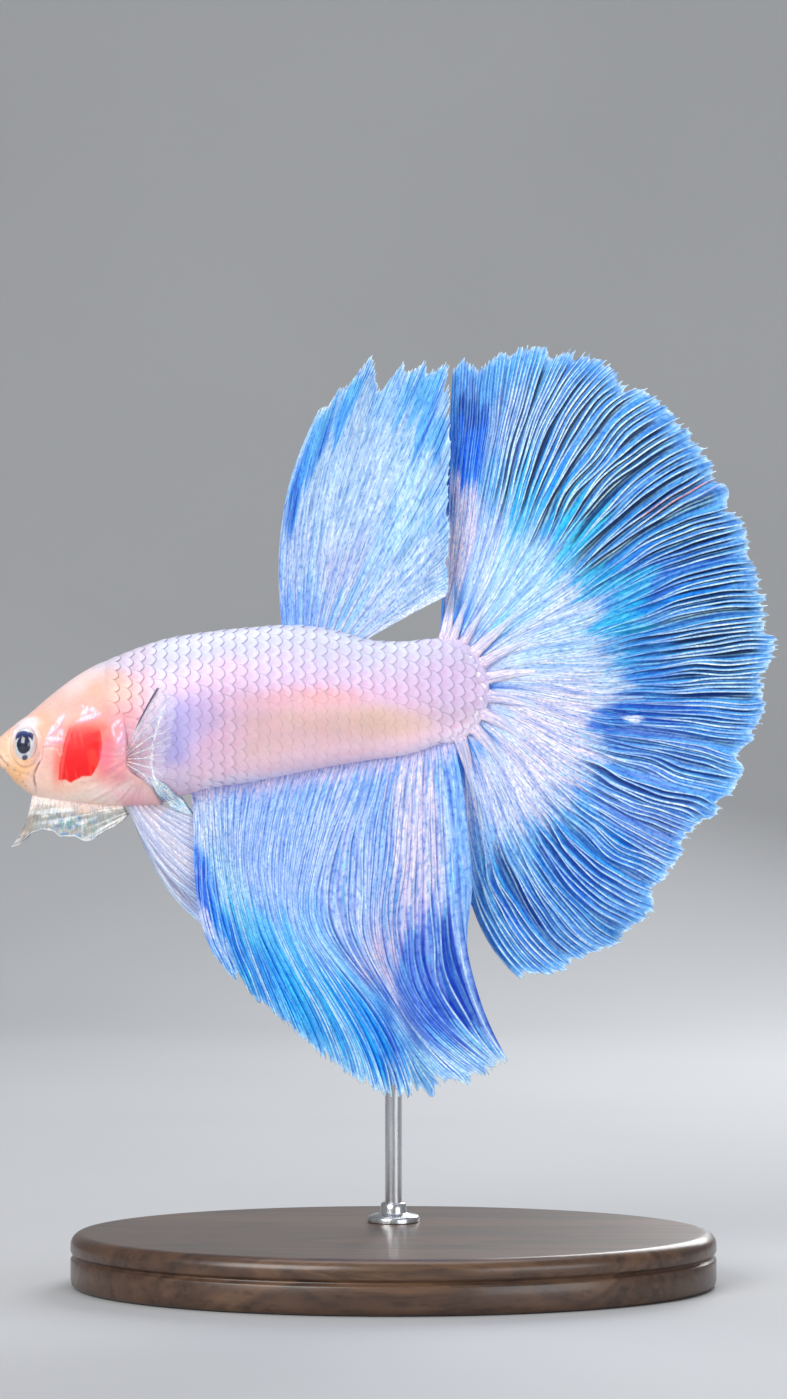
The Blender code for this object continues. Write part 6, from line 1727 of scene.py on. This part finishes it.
for side, word in ((-1, "left"), (1, "right")):
    def pectoral_side(s, t, u, h, side=side):
        bu, bh = pectoral_base(s)
        out = flank(bu, bh) + 0.10 + 0.55 * smooth(t / 0.12)
        return side * (out + 2.3 * np.sin(0.5 * math.pi * np.clip(t, 0, 1)) ** 1.3 + 0.18 * np.sin(math.pi * s) * t)

    build_fin("side_fin_" + word, Sheet(PECTORAL_RAYS, pectoral_base, pectoral_side), Rays(7, (0.45,), 37, 0.35, 0.2),
              ("pectoral_fin_" + word,), pectoral_paint, 120, 26, 0.05, pleat=0.10, notch=0.04,
              reach=lambda s: 0.99 + 0.02 * np.sin(26 * s), radius=((0, 0.10), (0.4, 0.045), (1, 0.02)), slot="clear_fin",
              membrane=CLEAR_FIN, ray_mat=CLEAR_FIN, flow=(40.0, 3.0), ray_steps=24, solid=pectoral_solid)

    more = 1.0 if side < 0 else 1.2
    dip = 0.0 if side < 0 else -5.0
    pelvic_rays = tuple((k, length * more, a + dip, b + dip, c + dip) for k, length, a, b, c in PELVIC_RAYS)

    def pelvic_base(s):
        u = 12.55 + 2.7 * s
        return u, on_belly(u) + 0.15

    def pelvic_side(s, t, u, h, side=side):
        return side * (0.95 + 0.35 * np.sin(math.pi * t) - (0.35 if side < 0 else 0.1) * t + 0.12 * np.sin(5 * s))

    build_fin("belly_pair_fin_" + word, Sheet(pelvic_rays, pelvic_base, pelvic_side), Rays(6, (0.22, 0.5), 47, 0.3, 0.25),
              ("pelvic_fin_" + word,), pelvic_paint, 200, 34, 0.07, pleat=0.16, notch=0.05,
              reach=lambda s: 0.985 + 0.02 * np.sin(31 * s) + 0.012 * np.sin(73 * s),
              radius=((0, 0.14), (0.3, 0.08), (1, 0.05)), slot="fin",
              membrane=CLEAR_FIN, ray_mat=CLEAR_FIN, flow=(50.0, 4.0), ray_steps=36, solid=pelvic_solid)

    def gill_base(s):
        u = 3.75 + 8.3 * s
        return u, on_belly(u) + 0.30

    def gill_side(s, t, u, h, side=side):
        return side * (0.75 + 0.65 * smooth(s / 0.3) + (0.35 + 1.1 * np.sin(math.pi * (0.12 + 0.8 * s))) * t
                       + 0.22 * np.sin(2 * math.pi * 2.4 * s) * t)

    build_fin("gill_skirt_" + word, Sheet(GILL_RAYS, gill_base, gill_side), Rays(7, (0.5,), 57, 0.3, 0.6),
              ("gill_membrane_" + word,), gill_paint, 300, 40, 0.06, pleat=0.05, notch=0.015,
              reach=lambda s: 1.0 + 0.012 * np.sin(61 * s + 0.6),
              radius=((0, 0.05), (0.5, 0.035), (1, 0.025)), slot="clear_fin",
              membrane=CLEAR_FIN, ray_mat=CLEAR_FIN, flow=(44.0, 3.0), ray_steps=24, solid=gill_solid)

    # the fleshy leaf in the axil of the pelvic fin: a spine with a blade on each side
    k, c = np.linspace(0, 1, 44), np.linspace(-1, 1, 17)
    K, C = np.meshgrid(k, c, indexing="ij")
    lu, lh = 14.95 + 3.55 * K, -7.10 - 3.50 * K - 0.35 * np.sin(math.pi * K)
    half = 0.66 * np.sin(math.pi * np.clip(K, 0, 1) ** 0.85) ** 0.65 * (1 + 0.10 * np.sin(17 * K + 3 * C))
    du, dh = 0.69, 0.72
    lu, lh = lu + C * half * du, lh + C * half * dh
    low = profile(lu)[1]
    near = flank(lu, np.maximum(lh, low + 0.05)) + 0.22
    ly = np.maximum(near, 1.25) + 0.10 * (1 - np.abs(C)) + 0.03 * np.sin(9 * K * 3.1)
    P = np.stack([lu, -ly, lh], -1)
    N = grid_normals(P)
    thick = (0.07 + 0.16 * bell(C, 0.22))[..., None]
    front, back = P - N * thick / 2, P + N * thick / 2
    for q in (front, back):
        q[..., 1] *= -side
    col = np.broadcast_to(np.array((0.80, 0.93, 1.0)), K.shape + (3,)).copy()
    col = mix(col, (0.92, 0.97, 1.0), smooth(noise(K * 9, C * 3, 341) + 0.5 * noise(K * 30, C * 9, 343), -0.15, 0.5) * 0.85)
    col = mix(col, (0.10, 0.45, 0.86), smooth(noise(K * 14 + 1.5 * C, C * 6, 345), 0.2, 0.6) * 0.50)
    col = mix(col, (0.30, 0.80, 0.95), smooth(noise(K * 20 - 2 * C, C * 5, 347), 0.2, 0.6) * 0.55)
    col = mix(col, (0.16, 0.20, 0.34), (bell(C + 0.93, 0.10) + 0.6 * bell(C - 0.95, 0.08)) * smooth(K, 0.02, 0.2) * 0.7)
    col = mix(col, (0.94, 0.98, 1.0), bell(C - 0.05 * np.sin(22 * K), 0.13) * 0.7)
    rows_n, cols_n = K.shape
    n = rows_n * cols_n
    a = grid_quads(rows_n, cols_n)
    ids = np.arange(n).reshape(rows_n, cols_n)
    loop = np.concatenate([ids[:, 0], ids[-1, 1:], ids[-2::-1, -1], ids[0, -2:0:-1]])
    rim = np.stack([np.roll(loop, -1), loop, loop + n, np.roll(loop, -1) + n], -1)
    leaf = make_mesh("axil_leaf_" + word, world(*np.concatenate([front.reshape(-1, 3), back.reshape(-1, 3)]).T),
                     np.concatenate([a, a[:, ::-1] + n, rim]), None, {"paint": np.tile(col.reshape(-1, 3), (2, 1))},
                     {"flow": np.tile(np.stack([C * 6, K * 5], -1).reshape(-1, 2), (2, 1))})
    face_outwards(leaf)
    add_piece(leaf, FIN, "fin")


# ------------------------------------------------------------------ the stand
BASE_LENGTH, BASE_DEPTH, BASE_HEIGHT = 60.0, 42.0, 5.0
ROD_R, ROD_X, ROD_Y, ROD_TOP_H = 0.8, 0.0, 7.4, 0.6


def turned(name, rings, segments, material, slot, centre=(0.0, 0.0), nodes_replaced=()):
    """A closed form from rings (radius along x, radius along y, z), with a fan at each end."""
    a = 2 * math.pi * np.arange(segments) / segments
    rows = [np.stack([centre[0] + rx * np.cos(a), centre[1] + ry * np.sin(a), np.full(segments, z)], -1) for rx, ry, z in rings]
    V = np.concatenate(rows + [np.array([[centre[0], centre[1], rings[0][2]], [centre[0], centre[1], rings[-1][2]]])])
    n = len(rings) * segments
    j = np.arange(segments)
    lo = np.stack([np.full(segments, n), (j + 1) % segments, j], -1)
    hi = np.stack([np.full(segments, n + 1), n - segments + j, n - segments + (j + 1) % segments], -1)
    obj = make_mesh(name, V * MM, grid_quads(len(rings), segments, 0, wrap=True), np.concatenate([lo, hi]))
    face_outwards(obj)
    obj.data.set_sharp_from_angle(angle=math.radians(42))
    return add_piece(obj, material, slot, *nodes_replaced)


def tube(name, path, radius, segments, material, slot, nodes_replaced=()):
    """A round closed tube along a path in frame millimetres; radius is one number or one for each point."""
    path = np.asarray(path, float)
    radius = np.broadcast_to(radius, (len(path),))
    tangent = np.gradient(path, axis=0)
    tangent /= np.linalg.norm(tangent, axis=1, keepdims=True)
    a = np.cross(tangent, [1.0, 0, 0])
    a /= np.linalg.norm(a, axis=1, keepdims=True)
    b = np.cross(tangent, a)
    w = 2 * math.pi * np.arange(segments) / segments
    ring = path[:, None] + radius[:, None, None] * (np.cos(w)[None, :, None] * a[:, None] + np.sin(w)[None, :, None] * b[:, None])
    n = len(path) * segments
    V = np.concatenate([ring.reshape(-1, 3), path[[0, -1]]])
    j = np.arange(segments)
    lo = np.stack([np.full(segments, n), (j + 1) % segments, j], -1)
    hi = np.stack([np.full(segments, n + 1), n - segments + j, n - segments + (j + 1) % segments], -1)
    obj = make_mesh(name, V * MM, grid_quads(len(path), segments, 0, wrap=True), np.concatenate([lo, hi]))
    face_outwards(obj)
    obj.data.set_sharp_from_angle(angle=math.radians(42))
    return add_piece(obj, material, slot, *nodes_replaced)


def walnut():
    m, tree, b = nodes_of("stand_walnut")
    place = tree.nodes.new("ShaderNodeTexCoord")
    mp = node(tree, "ShaderNodeMapping")
    mp.inputs["Scale"].default_value = (26, 190, 150)
    mp.inputs["Rotation"].default_value = (0.05, 0.02, 0.09)
    tree.links.new(place.outputs["Object"], mp.inputs["Vector"])
    warp = node(tree, "ShaderNodeTexNoise", Scale=1.0, Detail=3.0, Roughness=0.55, Distortion=0.8)
    tree.links.new(mp.outputs["Vector"], warp.inputs["Vector"])
    fine = node(tree, "ShaderNodeTexNoise", Scale=7.0, Detail=4.0, Roughness=0.7)
    tree.links.new(mp.outputs["Vector"], fine.inputs["Vector"])
    bands = ramp(tree, warp.outputs["Fac"], ((0.28, (0.036, 0.017, 0.010)), (0.42, (0.085, 0.042, 0.022)),
                                             (0.52, (0.055, 0.026, 0.014)), (0.62, (0.120, 0.062, 0.032)), (0.76, (0.070, 0.034, 0.018))))
    pores = ramp(tree, fine.outputs["Fac"], ((0.36, (0.55, 0.52, 0.50)), (0.50, (1.0, 1.0, 1.0)), (0.70, (1.18, 1.14, 1.10))))
    tree.links.new(blend_colour(tree, "MULTIPLY", 0.9, bands, pores), b.inputs["Base Color"])
    r = node(tree, "ShaderNodeMapRange")
    r.inputs["To Min"].default_value, r.inputs["To Max"].default_value = 0.30, 0.46
    tree.links.new(fine.outputs["Fac"], r.inputs["Value"])
    tree.links.new(r.outputs["Result"], b.inputs["Roughness"])
    b.inputs["Coat Weight"].default_value = 0.35
    b.inputs["Coat Roughness"].default_value = 0.18
    bump(tree, b, fine.outputs["Fac"], 0.25, 0.00004)
    return m


def steel():
    m, tree, b = nodes_of("stand_brushed_steel")
    place = tree.nodes.new("ShaderNodeTexCoord")
    mp = node(tree, "ShaderNodeMapping")
    mp.inputs["Scale"].default_value = (6000, 6000, 260)
    tree.links.new(place.outputs["Object"], mp.inputs["Vector"])
    n = node(tree, "ShaderNodeTexNoise", Scale=1.0, Detail=2.0)
    tree.links.new(mp.outputs["Vector"], n.inputs["Vector"])
    tree.links.new(ramp(tree, n.outputs["Fac"], ((0.3, (0.50, 0.51, 0.53)), (0.7, (0.64, 0.65, 0.67)))), b.inputs["Base Color"])
    r = node(tree, "ShaderNodeMapRange")
    r.inputs["To Min"].default_value, r.inputs["To Max"].default_value = 0.20, 0.34
    tree.links.new(n.outputs["Fac"], r.inputs["Value"])
    tree.links.new(r.outputs["Result"], b.inputs["Roughness"])
    b.inputs["Metallic"].default_value = 1.0
    return m


WALNUT, STEEL = walnut(), steel()
HA, HB = BASE_LENGTH / 2, BASE_DEPTH / 2
line = [(0.75, 0.0), (0.30, 0.10), (0.08, 0.35), (0.0, 0.75), (0.0, 1.6), (0.0, 2.55), (0.06, 2.68), (0.30, 2.80), (0.36, 2.95),
        (0.30, 3.10), (0.06, 3.22), (0.0, 3.35), (0.0, 3.9)]
for i in range(1, 11):
    w = math.pi / 2 * i / 10
    line.append((1.1 * (1 - math.cos(w)), 3.9 + 1.1 * math.sin(w)))
line += [(1.6, 5.0), (2.4, 5.0), (5.0, 5.0), (9.0, 5.0), (14.0, 5.0)]
turned("stand_base_oval", [(HA - d, HB - d, z) for d, z in line], 200, WALNUT, "stand_wood", nodes_replaced=("stand_base",))

meet = float(flank(ROD_X - SNOUT_X, ROD_TOP_H)) + 0.10
top = AXIS_Z + ROD_TOP_H
bend = ROD_Y - (meet + 0.2) - 0.6
path = [(ROD_X, ROD_Y, BASE_HEIGHT - 0.6)] + [(ROD_X, ROD_Y, z) for z in np.linspace(BASE_HEIGHT, top - bend, 14)]
for i in range(1, 25):
    w = math.pi / 2 * i / 24
    path.append((ROD_X, ROD_Y - bend * (1 - math.cos(w)), top - bend + bend * math.sin(w)))
path += [(ROD_X, meet + 0.45, top), (ROD_X, meet, top)]
tube("stand_rod_tube", path, ROD_R, 28, STEEL, "stand_steel", nodes_replaced=("stand_rod",))
tube("stand_rod_pad", [(ROD_X, meet + 0.62, top), (ROD_X, meet + 0.60, top), (ROD_X, meet + 0.40, top), (ROD_X, meet + 0.16, top),
                       (ROD_X, meet + 0.02, top), (ROD_X, meet, top)], [0.82, 1.05, 1.35, 1.55, 1.58, 1.48], 36, STEEL, "stand_steel")
collar = [(2.35, 0.0), (2.45, 0.08), (2.45, 0.45), (2.38, 0.60), (2.15, 0.70), (1.45, 0.78), (1.28, 0.90), (1.22, 1.30), (1.18, 1.72),
          (1.08, 1.84), (0.82, 1.88)]
turned("stand_rod_collar", [(r0, r0, BASE_HEIGHT - 0.02 + z) for r0, z in collar], 64, STEEL, "stand_steel", centre=(ROD_X, ROD_Y))


# ------------------------------------------------------------------ floor
def make_stage():
    floor = bpy.data.meshes.new("floor")
    bm = bmesh.new()
    line = [(-900.0, 0.0)] + [(160.0 + 10 * k, 0.0) for k in range(15)]
    line = [(-500.0, 0.0), (0.0, 0.0), (300.0, 0.0)]
    r = 200.0
    for k in range(1, 25):
        a = math.pi / 2 * k / 24
        line.append((300.0 + r * math.sin(a), r * (1 - math.cos(a))))
    line.append((300.0 + r, 900.0))
    rows = []
    for y, z in line:
        rows.append([bm.verts.new((x * MM, y * MM, z * MM - 0.00002)) for x in (-900.0, -300.0, 300.0, 900.0)])
    for a, b in zip(rows, rows[1:]):
        for i in range(3):
            bm.faces.new((a[i], a[i + 1], b[i + 1], b[i]))
    bm.to_mesh(floor)
    bm.free()
    for f in floor.polygons:
        f.use_smooth = True
    obj = bpy.data.objects.new("floor", floor)
    bpy.context.scene.collection.objects.link(obj)
    m, tree, b = nodes_of("studio_floor")
    place = tree.nodes.new("ShaderNodeTexCoord")
    n = node(tree, "ShaderNodeTexNoise", Scale=14.0, Detail=2.0)
    tree.links.new(place.outputs["Object"], n.inputs["Vector"])
    tree.links.new(ramp(tree, n.outputs["Fac"], ((0.3, (0.46, 0.47, 0.485)), (0.7, (0.48, 0.49, 0.505)))), b.inputs["Base Color"])
    b.inputs["Roughness"].default_value = 0.75
    obj.data.materials.append(m)
    return obj


make_stage()
